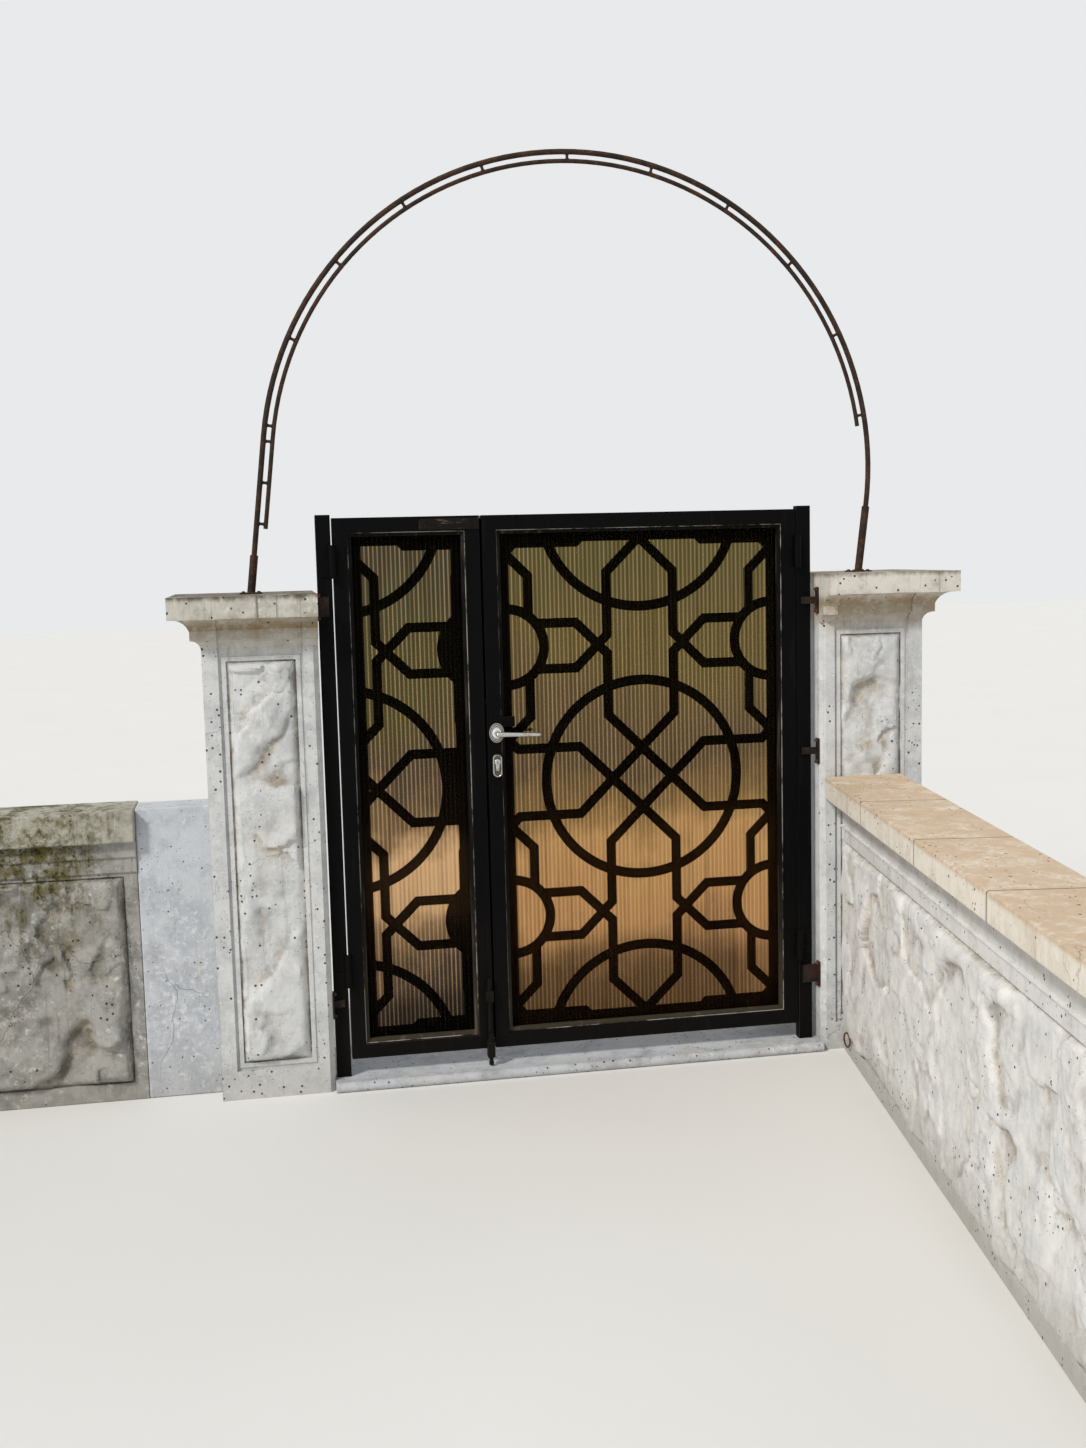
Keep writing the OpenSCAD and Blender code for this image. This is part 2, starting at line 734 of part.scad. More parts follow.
// the right wall starts inside the pier and is cut off at depth back from its front
wall_tuck = 60;
module on_right_wall() {
  translate([right_pier_x + right_wall_in, pier_front - wall_tuck / 2, 0])
    rotate(-90 - right_wall_turn) children();
}
module at_right_wall(back) {
  intersection() {
    on_right_wall() children();
    translate([-bay_l, pier_front + back - 2 * bay_l, -1])
      cube([4 * bay_l, 2 * bay_l, wall_top + 2]);
  }
}
band_out = 12;
step_out = 6;
fillet_out = 7;
left_bands = [[left_band_h, band_out], [left_step_h, step_out]];
right_bands = [[frieze_h, 0], [wall_fillet_h, fillet_out], [right_band_h, fillet_out / 2]];
module left_wall_pad() color("#d4d2cc") at_left_wall() cube([pad_w, wall_t, wall_top]);
module left_low_wall() {
  color("#c9c8c3") at_left_wall() wall_body(pad_w, bay_l, wall_top - left_coping_t,
    left_bands, left_border_w, left_border_h);
}
module left_wall_coping() {
  color("#c3c1b6") at_left_wall() wall_coping(pad_w, bay_l, left_coping_t, left_coping_over);
}
// its end meets the pier's stepped field, and the pier's plain foot below that
module right_low_wall() {
  color("#cfcdc6") difference() {
    at_right_wall(strip_step) wall_body(-wall_tuck, bay_l, wall_top - right_coping_t,
      right_bands, wall_tuck, 0);
    at_pier(1) translate([0, 0, -1]) cube([pier_w, pier_w, panel_low + 1]);
  }
}
module right_wall_coping() {
  color("#d8bf93") at_right_wall(0)
    wall_coping(-wall_tuck, bay_l, right_coping_t, right_coping_over);
}

// threshold with a rounded nose
module threshold() {
  color("#c2c0ba") translate([left_pier_x, 0, 0]) rotate([90, 0, 90])
    linear_extrude(right_pier_x - left_pier_x) {
      translate([sill_h / 2 - sill_nose, 0])
        square([sill_nose - sill_h / 2 + pier_front + pier_w, sill_h]);
      translate([sill_h / 2 - sill_nose, sill_h / 2]) circle(sill_h / 2);
    }
}

// rose arch in one plane: a main rod from foot to foot and a thinner rod inside
// it, tied by rungs; the whole arch leans, so its left leg is the longer one
right_foot = [right_pier_x + right_foot_in, right_cap_top];
left_foot = [left_pier_x - left_foot_in, left_cap_top];
foot_drop = right_foot.y - left_foot.y;
arch_r = (right_foot.x - left_foot.x - foot_drop * tan(arch_lean)) * cos(arch_lean) / 2;
left_leg_l = right_leg_l + 2 * arch_r * tan(arch_lean) + foot_drop / cos(arch_lean);
arch_c = right_foot + right_leg_l * [sin(arch_lean), cos(arch_lean)]
  - arch_r * [cos(arch_lean), -sin(arch_lean)];
foot_t = 4;
// a rod's end stands this far up in its socket
rod_set = 10;
// what is drawn upright round the middle of the round part, made to lean
module leaning() {
  translate([arch_c.x, pier_front + arch_in, arch_c.y]) rotate([0, arch_lean, 0]) children();
}
// round part of a rod, swept from the left leg over to the right
module round_part(radius, sweep, r) {
  mirror([1, 0, 0]) rotate([90, 0, 0]) rotate_extrude(angle = sweep, $fn = 120)
    translate([radius, 0]) circle(r);
}
inner_r = arch_r - rod_gap;
// the inner rod starts at this angle past the right leg, and on the left it
// comes down beside the main rod over this part of the leg
inner_start = 15;
inner_reach = 0.58;
module arch_main_hoop() {
  color("#2a211d") leaning() {
    round_part(arch_r, 180, main_rod_r);
    for (leg = [[-arch_r, left_leg_l], [arch_r, right_leg_l]])
      translate([leg[0], 0, rod_set - leg[1]]) cylinder(h = leg[1] - rod_set, r = main_rod_r);
  }
}
module arch_inner_hoop() {
  color("#2a211d") leaning() {
    round_part(inner_r, 180 - inner_start, inner_rod_r);
    translate([-inner_r, 0, -inner_reach * left_leg_l])
      cylinder(h = inner_reach * left_leg_l, r = inner_rod_r);
  }
}
// rungs from the round of one rod to the round of the other, short by the gap
// that the weld fills at each end
leg_rungs = [0.05, 0.5, 0.95];
rung_end = 2;
weld_gap = 0.3;
module rung() {
  translate([inner_r + inner_rod_r + weld_gap, 0, 0]) rotate([0, 90, 0])
    cylinder(h = rod_gap - main_rod_r - inner_rod_r - 2 * weld_gap, r = rung_r);
}
module arch_rungs() {
  step = (180 - inner_start - 2 * rung_end) / (rung_count - 1);
  color("#2a211d") leaning() {
    for (i = [0 : rung_count - 1]) rotate([0, -inner_start - rung_end - i * step, 0]) rung();
    for (t = leg_rungs) translate([0, 0, -t * inner_reach * left_leg_l]) mirror([1, 0, 0]) rung();
  }
}
foot_w = 60;
module arch_sockets() {
  color("#2a211d") for (f = [[left_foot, left_socket_h], [right_foot, right_socket_h]])
    translate([f[0].x, pier_front + arch_in, f[0].y]) difference() {
      union() {
        translate([-foot_w / 2, -foot_w / 2, 0]) cube([foot_w, foot_w, foot_t]);
        intersection() {
          rotate([0, arch_lean, 0]) translate([0, 0, -rod_set]) cylinder(h = rod_set + f[1], r = socket_r);
          translate([-foot_w, -foot_w, 0]) cube([2 * foot_w, 2 * foot_w, 2 * f[1]]);
        }
      }
      rotate([0, arch_lean, 0]) translate([0, 0, rod_set]) cylinder(h = f[1], r = main_rod_r + run_fit);
    }
}

// iron ring hung on a pin in the right wall near the pier
ring_turn = 12;
pin_l = 17;
pin_end = 6;
module iron_ring() {
  color("#6b4630") on_right_wall() translate([ring_along - wall_tuck / 2, 0, ring_z]) {
    translate([0, panel_sink, 0]) rotate([90, 0, 0]) cylinder(h = panel_sink + pin_l, r = ring_wire);
    translate([0, pin_end - pin_l, -ring_r]) rotate([90, 0, ring_turn]) rotate_extrude()
      translate([ring_r, 0]) circle(ring_wire, $fn = 24);
  }
}

threshold();
left_pier_shaft();
left_pier_cap();
right_pier_shaft();
right_pier_cap();
left_wall_pad();
left_low_wall();
left_wall_coping();
right_low_wall();
right_wall_coping();
left_gate_post();
right_gate_post();
post_caps();
left_post_lugs();
right_post_lugs();
post_hinge_pins();
arch_main_hoop();
arch_inner_hoop();
arch_rungs();
arch_sockets();
iron_ring();
left_leaf_frame();
left_leaf_bead();
left_leaf_sheet();
left_leaf_lattice();
left_leaf_knuckles();
top_rail_plate();
drop_bolt_guides();
strike_plate();
drop_bolt();
right_leaf_frame();
right_leaf_bead();
right_leaf_sheet();
right_leaf_lattice();
right_leaf_knuckles();
lock_faceplate();
handle_roses();
cylinder_escutcheons();
stile_block();
lever_handles();
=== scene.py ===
# %% [markdown]
# # A garden gate between cast concrete piers
# The gate has two steel leaves with a cut lattice behind a ribbed sheet. Its
# piers, caps, walls and threshold are cast concrete, and a pair of bent rods
# stands on the caps as a round arch. The solid model already has every size, so
# this lesson gives it its surfaces, the relief of the castings and its fittings.

# %% Load the gate
import json
import math
import bpy
import bmesh
import numpy as np
from mathutils import Matrix, Vector, noise

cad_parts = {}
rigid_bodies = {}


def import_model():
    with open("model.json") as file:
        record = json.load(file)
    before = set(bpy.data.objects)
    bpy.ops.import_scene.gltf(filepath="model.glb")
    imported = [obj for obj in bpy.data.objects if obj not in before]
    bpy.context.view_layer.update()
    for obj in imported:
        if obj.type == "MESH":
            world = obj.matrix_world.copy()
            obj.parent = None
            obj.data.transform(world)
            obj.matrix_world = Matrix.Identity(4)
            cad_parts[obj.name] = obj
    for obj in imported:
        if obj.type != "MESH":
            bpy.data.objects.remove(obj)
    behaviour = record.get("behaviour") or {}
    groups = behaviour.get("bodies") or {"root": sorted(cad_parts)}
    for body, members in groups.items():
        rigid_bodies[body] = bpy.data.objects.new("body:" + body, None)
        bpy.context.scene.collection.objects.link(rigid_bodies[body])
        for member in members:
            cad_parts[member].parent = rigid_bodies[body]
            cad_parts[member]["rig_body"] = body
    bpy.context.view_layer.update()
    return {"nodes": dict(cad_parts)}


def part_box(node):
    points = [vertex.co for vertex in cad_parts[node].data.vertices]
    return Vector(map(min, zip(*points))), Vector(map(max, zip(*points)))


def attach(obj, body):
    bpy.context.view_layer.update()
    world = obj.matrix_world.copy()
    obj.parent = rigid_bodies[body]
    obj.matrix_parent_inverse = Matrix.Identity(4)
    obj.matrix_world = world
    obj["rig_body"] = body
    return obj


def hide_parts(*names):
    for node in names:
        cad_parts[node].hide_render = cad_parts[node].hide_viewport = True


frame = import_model()
bpy.ops.object.select_all(action="DESELECT")

# %% [markdown]
# ## Camera
# The place of the camera was worked out from known corners of the gate and from
# straight lines on the ground. It stands left of the middle at eye height, and
# looks down slightly. The lens is given for the long side.

# %% Set up the camera
def added(name, data):
    """A new object, put into the scene."""
    thing = bpy.data.objects.new(name, data)
    bpy.context.collection.objects.link(thing)
    return thing


eye = bpy.data.cameras.new("eye")
eye.sensor_width = 36
eye.lens = 37.6335
camera = added("camera", eye)
camera.location = (-0.83910, -4.13358, 1.47112)
camera.rotation_euler = [math.radians(a) for a in (83.54333, 1.38875, -10.44028)]
bpy.context.scene.camera = camera
print("camera at", tuple(round(v, 2) for v in camera.location))

# %% [markdown]
# ## A short way to write shader maths
# A material is a net of nodes. One class here wraps a socket, so that plain
# signs such as + and * add Math nodes. One method adds any other node: it takes
# the node's kind, its settings, and then the values or links of its sockets.

# %% Colours and sockets
def tint(code):
    """A colour written as on a paint chart, turned into linear light."""
    parts = [int(code[i:i + 2], 16) / 255 for i in (0, 2, 4)]
    return tuple(c / 12.92 if c < 0.04045 else ((c + 0.055) / 1.055) ** 2.4
                 for c in parts) + (1.0,)


class Wire:
    """A socket whose signs add Math nodes."""
    def __init__(self, finish, socket):
        self.finish, self.socket = finish, socket

    def maths(self, sign, other, swapped=False):
        pair = (other, self) if swapped else (self, other)
        return self.finish.node("Math", {"operation": sign}, dict(enumerate(pair)))

    def __add__(self, other):
        return self.maths("ADD", other)

    def __sub__(self, other):
        return self.maths("SUBTRACT", other)

    def __rsub__(self, other):
        return self.maths("SUBTRACT", other, True)

    def __mul__(self, other):
        return self.maths("MULTIPLY", other)

    def __mod__(self, other):
        return self.maths("FLOORED_MODULO", other)

    def __abs__(self):
        return self.finish.node("Math", {"operation": "ABSOLUTE"}, {0: self})

    __radd__ = __add__
    __rmul__ = __mul__


# %% A finish and its nodes
class Finish:
    """A material that grows node by node. Its shader's constants are set by name."""
    def __init__(self, name, **constants):
        self.material = bpy.data.materials.new(name)
        self.material.use_nodes = True
        self.tree = self.material.node_tree
        self.shader = self.tree.nodes["Principled BSDF"]
        for socket, value in constants.items():
            self.shader.inputs[socket.replace("_", " ")].default_value = value
        self.place = self.node("TexCoord", out="Object")

    def feed(self, socket, value):
        """Link a wire to the socket, or set its value. A word is the code of a colour."""
        if isinstance(value, Wire):
            self.tree.links.new(value.socket, socket)
        elif value is not None:
            socket.default_value = tint(value) if isinstance(value, str) else value

    def node(self, kind, settings=None, sockets=None, out=0):
        """Add a node. A setting called stops fills a colour ramp."""
        made = self.tree.nodes.new("ShaderNode" + kind)
        for name, value in (settings or {}).items():
            if name == "stops":
                ramp = made.color_ramp
                ramp.elements[0].position = value[0][0]
                ramp.elements[1].position = value[-1][0]
                for place, _ in value[1:-1]:
                    ramp.elements.new(place)
                for element, (_, code) in zip(ramp.elements, value):
                    element.color = tint(code)
            else:
                setattr(made, name, value)
        for name, value in (sockets or {}).items():
            self.feed(made.inputs[name], value)
        return Wire(self, made.outputs[out])

    def stretch(self, x, y, z):
        return self.node("Mapping", None, {"Vector": self.place, "Scale": (x, y, z)})

    def noise(self, scale, detail=4, rough=0.55, place=None, warp=0.0):
        return self.node("TexNoise", None, {"Vector": place or self.place, "Scale": scale,
                         "Detail": detail, "Roughness": rough, "Distortion": warp})

    def cells(self, scale, feature="F1", place=None, out="Distance"):
        return self.node("TexVoronoi", {"feature": feature},
                         {"Vector": place or self.place, "Scale": scale}, out)

    def axis(self, name):
        return self.node("SeparateXYZ", None, {"Vector": self.place}, name)

    def along(self, x, y):
        """How far a point lies along a level direction."""
        return self.node("VectorMath", {"operation": "DOT_PRODUCT"},
                         {0: self.place, 1: (x, y, 0)}, "Value")

    def painted(self, name):
        """A value kept on the piece's own points."""
        return self.node("Attribute", {"attribute_name": name}, None, "Fac")

    def band(self, value, low, high, to_low=0.0, to_high=1.0):
        """A value between low and high, eased to run from one end to the other."""
        return self.node("MapRange", {"interpolation_type": "SMOOTHSTEP"},
                         {"Value": value, "From Min": low, "From Max": high,
                          "To Min": to_low, "To Max": to_high})

    def ramp(self, value, *stops):
        return self.node("ValToRGB", {"stops": stops}, {"Fac": value})

    def mix(self, under, over, amount):
        return self.node("Mix", {"data_type": "RGBA"}, {0: amount, 6: under, 7: over}, 2)

    def finish(self, colour=None, roughness=None, height=None, depth=0.001):
        """Join colour, roughness and relief; the height is in parts of the depth."""
        self.feed(self.shader.inputs["Base Color"], colour)
        self.feed(self.shader.inputs["Roughness"], roughness)
        if height is not None:
            bump = self.node("Bump", None, {"Strength": 1.0, "Distance": depth, "Height": height})
            self.feed(self.shader.inputs["Normal"], bump)
        print("finish:", self.material.name, len(self.tree.nodes), "nodes")
        return self.material


# %% [markdown]
# ## Cast concrete
# The castings are near-white concrete, limewashed once. Rain has drawn thin dark
# runs down them, air bubbles left round pits a few millimetres wide, and hairlines
# cross them. The hollows of the rock faces get ochre soil colour and grey, which is
# partly soil and partly painted shade. A photograph as texture would be quick, but
# it would stretch and repeat. Here noises at several scales, in real metres, lie
# over each other, each as strong as its stain on the object.

# %% Air holes and hairlines
# the spacing of the holes, and the smallest and the largest radius
AIR_HOLES, PIN_HOLES = (0.016, 0.0008, 0.0036), (0.0085, 0.0006, 0.0014)


def pits(f, share, spacing, small, large):
    """Round air holes in a share of the cells: 1 inside a hole, 0 elsewhere. The cells
    fill space, so few meet a surface."""
    scale = 1 / spacing
    pick = f.cells(scale, out="Color")
    chance = f.node("SeparateColor", None, {"Color": pick}, 0)
    size = f.node("SeparateColor", None, {"Color": pick}, 1)
    thick = f.noise(4.0, 3)
    radius = f.band(size, 0.0, 1.0, small * scale, large * scale)
    hole = f.band(f.cells(scale) - radius, 0.0, -0.4 * small * scale)
    return hole * f.band(chance + (0.5 - thick) * 2.2, share + 0.02, share - 0.02)


def hairlines(f, scale, width):
    """Cracks: the edges of large cells whose places are bent by a noise."""
    drift = f.node("TexNoise", None, {"Vector": f.place, "Scale": 5.0, "Detail": 7}, "Color")
    moved = f.node("VectorMath", {"operation": "SCALE"}, {0: drift, "Scale": 0.25})
    bent = f.node("VectorMath", {"operation": "ADD"}, {0: f.place, 1: moved})
    line = f.band(f.cells(scale, "DISTANCE_TO_EDGE", bent), width, 0.0)
    return line * f.band(f.noise(1.7, 3), 0.47, 0.6)


# %% Concrete
def concrete(name, pale, grey, stain, soil, runs=0.4, blotches=0.3, soils=0.3, soiled=None,
             moss=None, foot=0.3, cracks=0.2, holes=0.42, joints=None):
    """Two cement colours, and how strong each stain on them is. Each soiled band fades in
    from one height to another, with a colour, a strength and a raggedness. moss fades in
    over two heights and two places along X, then its strength. joints are a step, a start
    and a direction.
    """
    f = Finish(name, Specular_IOR_Level=0.2)
    height = f.axis("Z")
    cloud = f.noise(2.4, 5, 0.6)
    plaster = f.noise(17, 9, 0.74)
    fine = f.noise(55, 7, 0.7)
    grain = f.noise(420, 3, 0.65)
    streak = f.noise(1.0, 7, 0.66, f.stretch(48, 48, 1.3), 0.2)
    colour = f.mix(pale, grey, f.band(plaster + (cloud - 0.5) * 0.4, 0.40, 0.68))
    colour = f.mix(colour, "f0f0ed", f.band(fine + (cloud - 0.5) * 0.5, 0.56, 0.72) * 0.45)
    colour = f.mix(colour, stain, f.band(streak, 0.56, 0.72) * runs)
    blotch = f.noise(8.5, 10, 0.78, warp=0.25)
    colour = f.mix(colour, stain, f.band(blotch, 0.55, 0.68) * blotches)
    earth = f.noise(5.2, 10, 0.78, warp=0.3)
    colour = f.mix(colour, soil, f.band(earth, 0.54, 0.68) * soils)
    # hollow is how deep a point lies in a crease of the rock; the soil colour and grey laid there
    # are partly soil and partly painted shade
    hollow = f.painted("hollow")
    shaded = hollow * f.band(fine + (earth - 0.5) * 1.4, 0.34, 0.62)
    colour = f.mix(colour, soil, shaded * 0.55)
    colour = f.mix(colour, stain, hollow * f.band(plaster, 0.42, 0.58) * 0.6)
    damp = f.band(height + (blotch - 0.5) * 0.35, 0.2, 0.0)
    colour = f.mix(colour, "857f72", damp * foot)
    for low, high, code, amount, ragged in soiled or ():
        fringe = (f.noise(1.0, 6, 0.7, f.stretch(34, 34, 3)) - 0.5) * ragged
        patchy = f.band(blotch + (fine - 0.5) * 0.7, 0.3, 0.55, 0.4, 1.0)
        colour = f.mix(colour, code, f.band(height + fringe, low, high) * patchy * amount)
    if moss:
        low, high, x_in, x_out, amount = moss
        hang = f.noise(1.0, 8, 0.75, f.stretch(22, 22, 2.4), 0.3)
        growth = f.band(height + (hang - 0.5) * 1.3, low, high)
        growth = growth * f.band(f.noise(13, 9, 0.8), 0.42, 0.58)
        growth = growth * f.band(f.axis("X") + (hang - 0.5) * 0.8, x_in, x_out)
        colour = f.mix(colour, "5b5429", growth * amount)
        colour = f.mix(colour, "2f2b1d", growth * f.band(fine, 0.48, 0.62) * amount)
    relief = plaster * 0.9 + fine * 0.5 + grain * 0.12
    if joints:
        step, start, x, y = joints
        seam = f.band(abs((f.along(x, y) - start) % step - step / 2), 0.0035, 0.001)
        colour = f.mix(colour, "6b5f50", seam * 0.75)
        relief = relief - seam * 1.4
    if cracks:
        crack = hairlines(f, 1.9, 0.0035)
        colour = f.mix(colour, "6a655d", crack * cracks)
        relief = relief - crack * 0.6
    hole, dot = pits(f, holes, *AIR_HOLES), pits(f, holes, *PIN_HOLES)
    colour = f.mix(colour, "2f2b26", hole * 0.9 + dot * 0.75)
    relief = relief - hole * 1.8 - dot * 0.7
    return f.finish(colour, f.band(fine, 0.3, 0.7, 0.82, 0.96), relief, 0.0030)


# %% The castings' own mixtures
pier_finish = concrete("pier_concrete_finish", "d2d3d2", "bbbdbe", "858178", "ae9670", runs=0.45,
                       blotches=0.2, soils=0.16, holes=0.34,
                       soiled=((1.20, 1.30, "9c8763", 0.8, 0.07),))
cap_finish = concrete("cap_concrete_finish", "d9d5cb", "c2beb4", "6f665a", "ab8a60", runs=0.7,
                      blotches=0.35, soils=0.3, foot=0,
                      soiled=((1.345, 1.31, "8d7550", 0.8, 0.05),
                              (1.378, 1.394, "6b5d4b", 0.8, 0.03)))
left_cap_finish = concrete("left_cap_concrete_finish", "c8c5bb", "aba79b", "564f43", "97784c",
                           runs=1.0, blotches=0.5, soils=0.3, foot=0,
                           soiled=((1.33, 1.295, "86704d", 0.85, 0.05),
                                   (1.362, 1.379, "4e4335", 0.9, 0.04)))
wall_finish = concrete("wall_concrete_finish", "e2e1de", "cfcfcf", "908b84", "b8a17e", runs=0.2,
                       blotches=0.3, soils=0.18, foot=0.55, cracks=0, holes=0.34,
                       soiled=((0.66, 0.76, "b8a384", 0.4, 0.07),))
# the pad's cool blue cast is painted shade: the blue of skylight on a face in shade
pad_finish = concrete("pad_concrete_finish", "c6cacf", "b0b4ba", "86837b", "ab9877", runs=0.6,
                      blotches=0.18, soils=0.1, holes=0.3)
left_wall_finish = concrete("left_wall_concrete_finish", "a5a39e", "807f7a", "55524a", "82704d",
                            runs=0.5, blotches=0.4, soils=0.2, holes=0.22,
                            moss=(0.36, 0.70, -1.2, -1.42, 1.0))
grey_coping_finish = concrete("grey_coping_finish", "b1aea2", "918e80", "5e5a49", "8d7e54",
                              runs=0.5, blotches=0.45, soils=0.35, foot=0,
                              moss=(0.5, 0.76, -1.2, -1.4, 0.95))
WALL_TURN = math.radians(-99.1)
ochre_coping_finish = concrete("ochre_coping_finish", "efe7da", "dfd5c4", "8d7f6e", "c0a17a",
                               runs=0.5, blotches=0.25, soils=0.3, foot=0, holes=0.3,
                               soiled=((0.792, 0.808, "c7aa89", 0.8, 0.012),),
                               joints=(0.52, 0.1, math.cos(WALL_TURN), math.sin(WALL_TURN)))
threshold_finish = concrete("threshold_concrete_finish", "bfc1c3", "a9abaf", "74716a", "a39670",
                            runs=0.0, blotches=0.4, soils=0.25, holes=0.5, foot=0, cracks=0)

# %% [markdown]
# ## Painted steel
# The leaves, posts and lattice are black satin paint on steel. Paint is never
# flat: it lies in slight orange peel, holds pale dust towards the bottom and
# shows brown where an edge has worn through. A mask could guess where the edges
# are, but the bevel that rounds them knows, so it gets a finish of its own.

# %% Black paint, worn edges and dusty beads
def paint(name, base, worn, dust="8d8069", rough=0.5, dusty=0.02, chips=0.08, low=0.5,
          streaks=(60, 60, 4)):
    """Base paint with worn patches, dust in streaks and low down, and brown chips."""
    f = Finish(name, Specular_IOR_Level=0.06)
    peel = f.noise(900, 2, 0.5)
    patch = f.noise(14, 6, 0.65)
    wiped = f.noise(1.0, 5, 0.6, f.stretch(*streaks))
    colour = f.mix(base, worn, f.band(patch, 0.52, 0.75) * 0.3)
    splash = f.band(f.axis("Z") + (patch - 0.5) * 0.5, 0.6, 0.05) * low
    colour = f.mix(colour, dust, (f.band(wiped, 0.54, 0.78) + splash) * dusty)
    chip = f.band(f.noise(120, 5, 0.7), 0.66, 0.70) * f.band(patch, 0.5, 0.6)
    colour = f.mix(colour, "5d3a22", chip * chips)
    level = f.band(wiped + (peel - 0.5) * 0.3, 0.3, 0.75, rough - 0.08, rough + 0.2)
    return f.finish(colour, level, peel * 0.05 + patch * 0.6 - chip * 0.6, 0.0006)


black_paint = paint("black_paint_finish", "060607", "0f0d0c")
worn_edge = paint("worn_edge_finish", "141211", "3d332a", rough=0.5, dusty=0.16, chips=0.9)
lattice_paint_and_keyway_shade = paint("lattice_paint_finish", "0e0c09", "1a1510", rough=0.6, dusty=0.02)
bead_paint = paint("bead_paint_finish", "121110", "312b24", "8d8069", 0.6, 0.3, low=0.6)
bolt_paint = paint("bolt_paint_finish", "080808", "1d1815", rough=0.48, dusty=0.05, chips=0.5)
worn_black = paint("worn_black_finish", "1a1614", "5d5046", "a08f80", 0.5, 0.75, 0.9, low=0.0,
                   streaks=(16, 16, 90))

# %% [markdown]
# ## The ribbed sheet
# In front of the lattice lies a bronze sheet with upright ribs. It lets light
# through, so the lattice shows behind it, and the colour seen is that of the
# sheet twice over. What comes through the real one is green high up and tan lower
# down. A plain studio has neither, so the same drift of colour is given to the
# sheet itself, with grime that follows the ribs, a painted highlight along each
# rib and painted shade in the gutters between them.

# %% Ribbed sheet
def ribbed(name, first_rib, *stops):
    """The stops give a height in metres and the colour of the light that comes through."""
    f = Finish(name, Transmission_Weight=0.985, IOR=1.07, Specular_IOR_Level=0.5)
    tallest, pitch = 1.6, 0.012
    drift = f.axis("Z") + (f.noise(1.0, 5, 0.6, f.stretch(3.2, 3.2, 2.4)) - 0.5) * 0.75
    colour = f.ramp(drift * (1 / tallest), *[(z / tallest, code) for z, code in stops])
    grime = f.noise(1.0, 6, 0.65, f.stretch(75, 75, 1.4))
    colour = f.mix(colour, "453523", f.band(grime, 0.52, 0.72) * 0.5)
    # each rib's crest gets a painted highlight for the light the ribs bend, and each gutter
    # between them painted shade
    beside = abs((f.axis("X") - first_rib) % pitch - pitch / 2)
    rib_highlight = f.band(beside, pitch / 2 - 0.0024, pitch / 2 - 0.0008)
    gutter_shade = f.band(beside, 0.0034, 0.0008)
    colour = f.mix(colour, "e3c193", rib_highlight * f.band(grime, 0.75, 0.35) * 0.42)
    colour = f.mix(colour, "2c2218", gutter_shade * f.band(grime, 0.3, 0.6) * 0.26)
    return f.finish(colour, f.band(grime, 0.3, 0.7, 0.01, 0.05))


LEFT_RIB, RIGHT_RIB = -0.591, -0.187
left_sheet = ribbed("left_ribbed_sheet_finish", LEFT_RIB, (0.08, "40352b"), (0.25, "4c3f34"),
                    (0.38, "8f7152"), (0.48, "cfa67a"), (0.62, "dbb182"), (0.72, "826748"),
                    (0.86, "57493a"), (1.05, "59522f"), (1.25, "565034"), (1.48, "4d4632"))
right_sheet = ribbed("right_ribbed_sheet_finish", RIGHT_RIB, (0.10, "7b5b3a"), (0.26, "8a6541"),
                     (0.42, "bd8d5b"), (0.58, "c3955f"), (0.72, "86693f"), (0.86, "5f4e37"),
                     (1.02, "66553a"), (1.20, "6b5d36"), (1.48, "605833"))

# %% [markdown]
# ## Bare metal and rust
# The lever and its plates are satin nickel, with a darker nickel as painted shade
# in the grooves of the roses and the dishes of the cylinder plates. The arch and
# the ring stand in the rain, so they are rust under dark scale. One colour with a
# shine would look like plastic. Metal shows by the brushing and the haze in its
# gloss, and rust by how it flakes in patches, so both are built in.

# %% Nickel, lock steel and rust
def metal(name, bright, dull, rough, brushed=(500, 500, 40)):
    """Brushed metal, with haze in its colour and grain in its gloss."""
    f = Finish(name, Metallic=1.0)
    grain = f.noise(1.0, 4, 0.6, f.stretch(*brushed))
    haze = f.noise(55, 6, 0.65)
    colour = f.mix(bright, dull, f.band(haze, 0.48, 0.72) * 0.7)
    level = f.band(grain + (haze - 0.5) * 0.6, 0.3, 0.8, rough - 0.06, rough + 0.14)
    return f.finish(colour, level, grain * 0.4 + haze * 0.3, 0.0002)


def rust(name, scale_colour, deep, bright, scaled):
    """Flaking rust under patches of dark scale, which are as strong as scaled says."""
    f = Finish(name, Specular_IOR_Level=0.25)
    patch = f.noise(22, 8, 0.7)
    flake = f.noise(160, 7, 0.72)
    colour = f.mix(deep, bright, f.band(flake, 0.42, 0.66))
    colour = f.mix(colour, scale_colour, f.band(patch, 0.60, 0.42) * scaled)
    return f.finish(colour, f.band(flake, 0.3, 0.7, 0.6, 0.92), flake + patch * 0.7, 0.0009)


nickel = metal("satin_nickel_finish", "c9c7c2", "8f8678", 0.26)
# a darker nickel, laid as painted shade in the grooves of the roses and the dish of the cylinder
# plates
groove_shade_nickel = metal("painted_groove_shade_finish", "5f5a53", "3a3530", 0.4)
lock_steel = metal("lock_steel_finish", "8b8883", "544f4a", 0.42)
rusty_iron = rust("rusty_iron_finish", "2a211c", "4a2d1c", "8a5530", 0.45)
arch_rust = rust("arch_paint_finish", "1d1917", "33231a", "5b3b26", 0.8)
lug_paint = rust("rusty_lug_finish", "12100f", "241812", "4a3022", 0.9)

# %% [markdown]
# ## Give each solid its finish
# Every node of the solid model is one made part. Each takes the finish of what
# it is made of, through its own material slot, so that its mesh stays as it is.

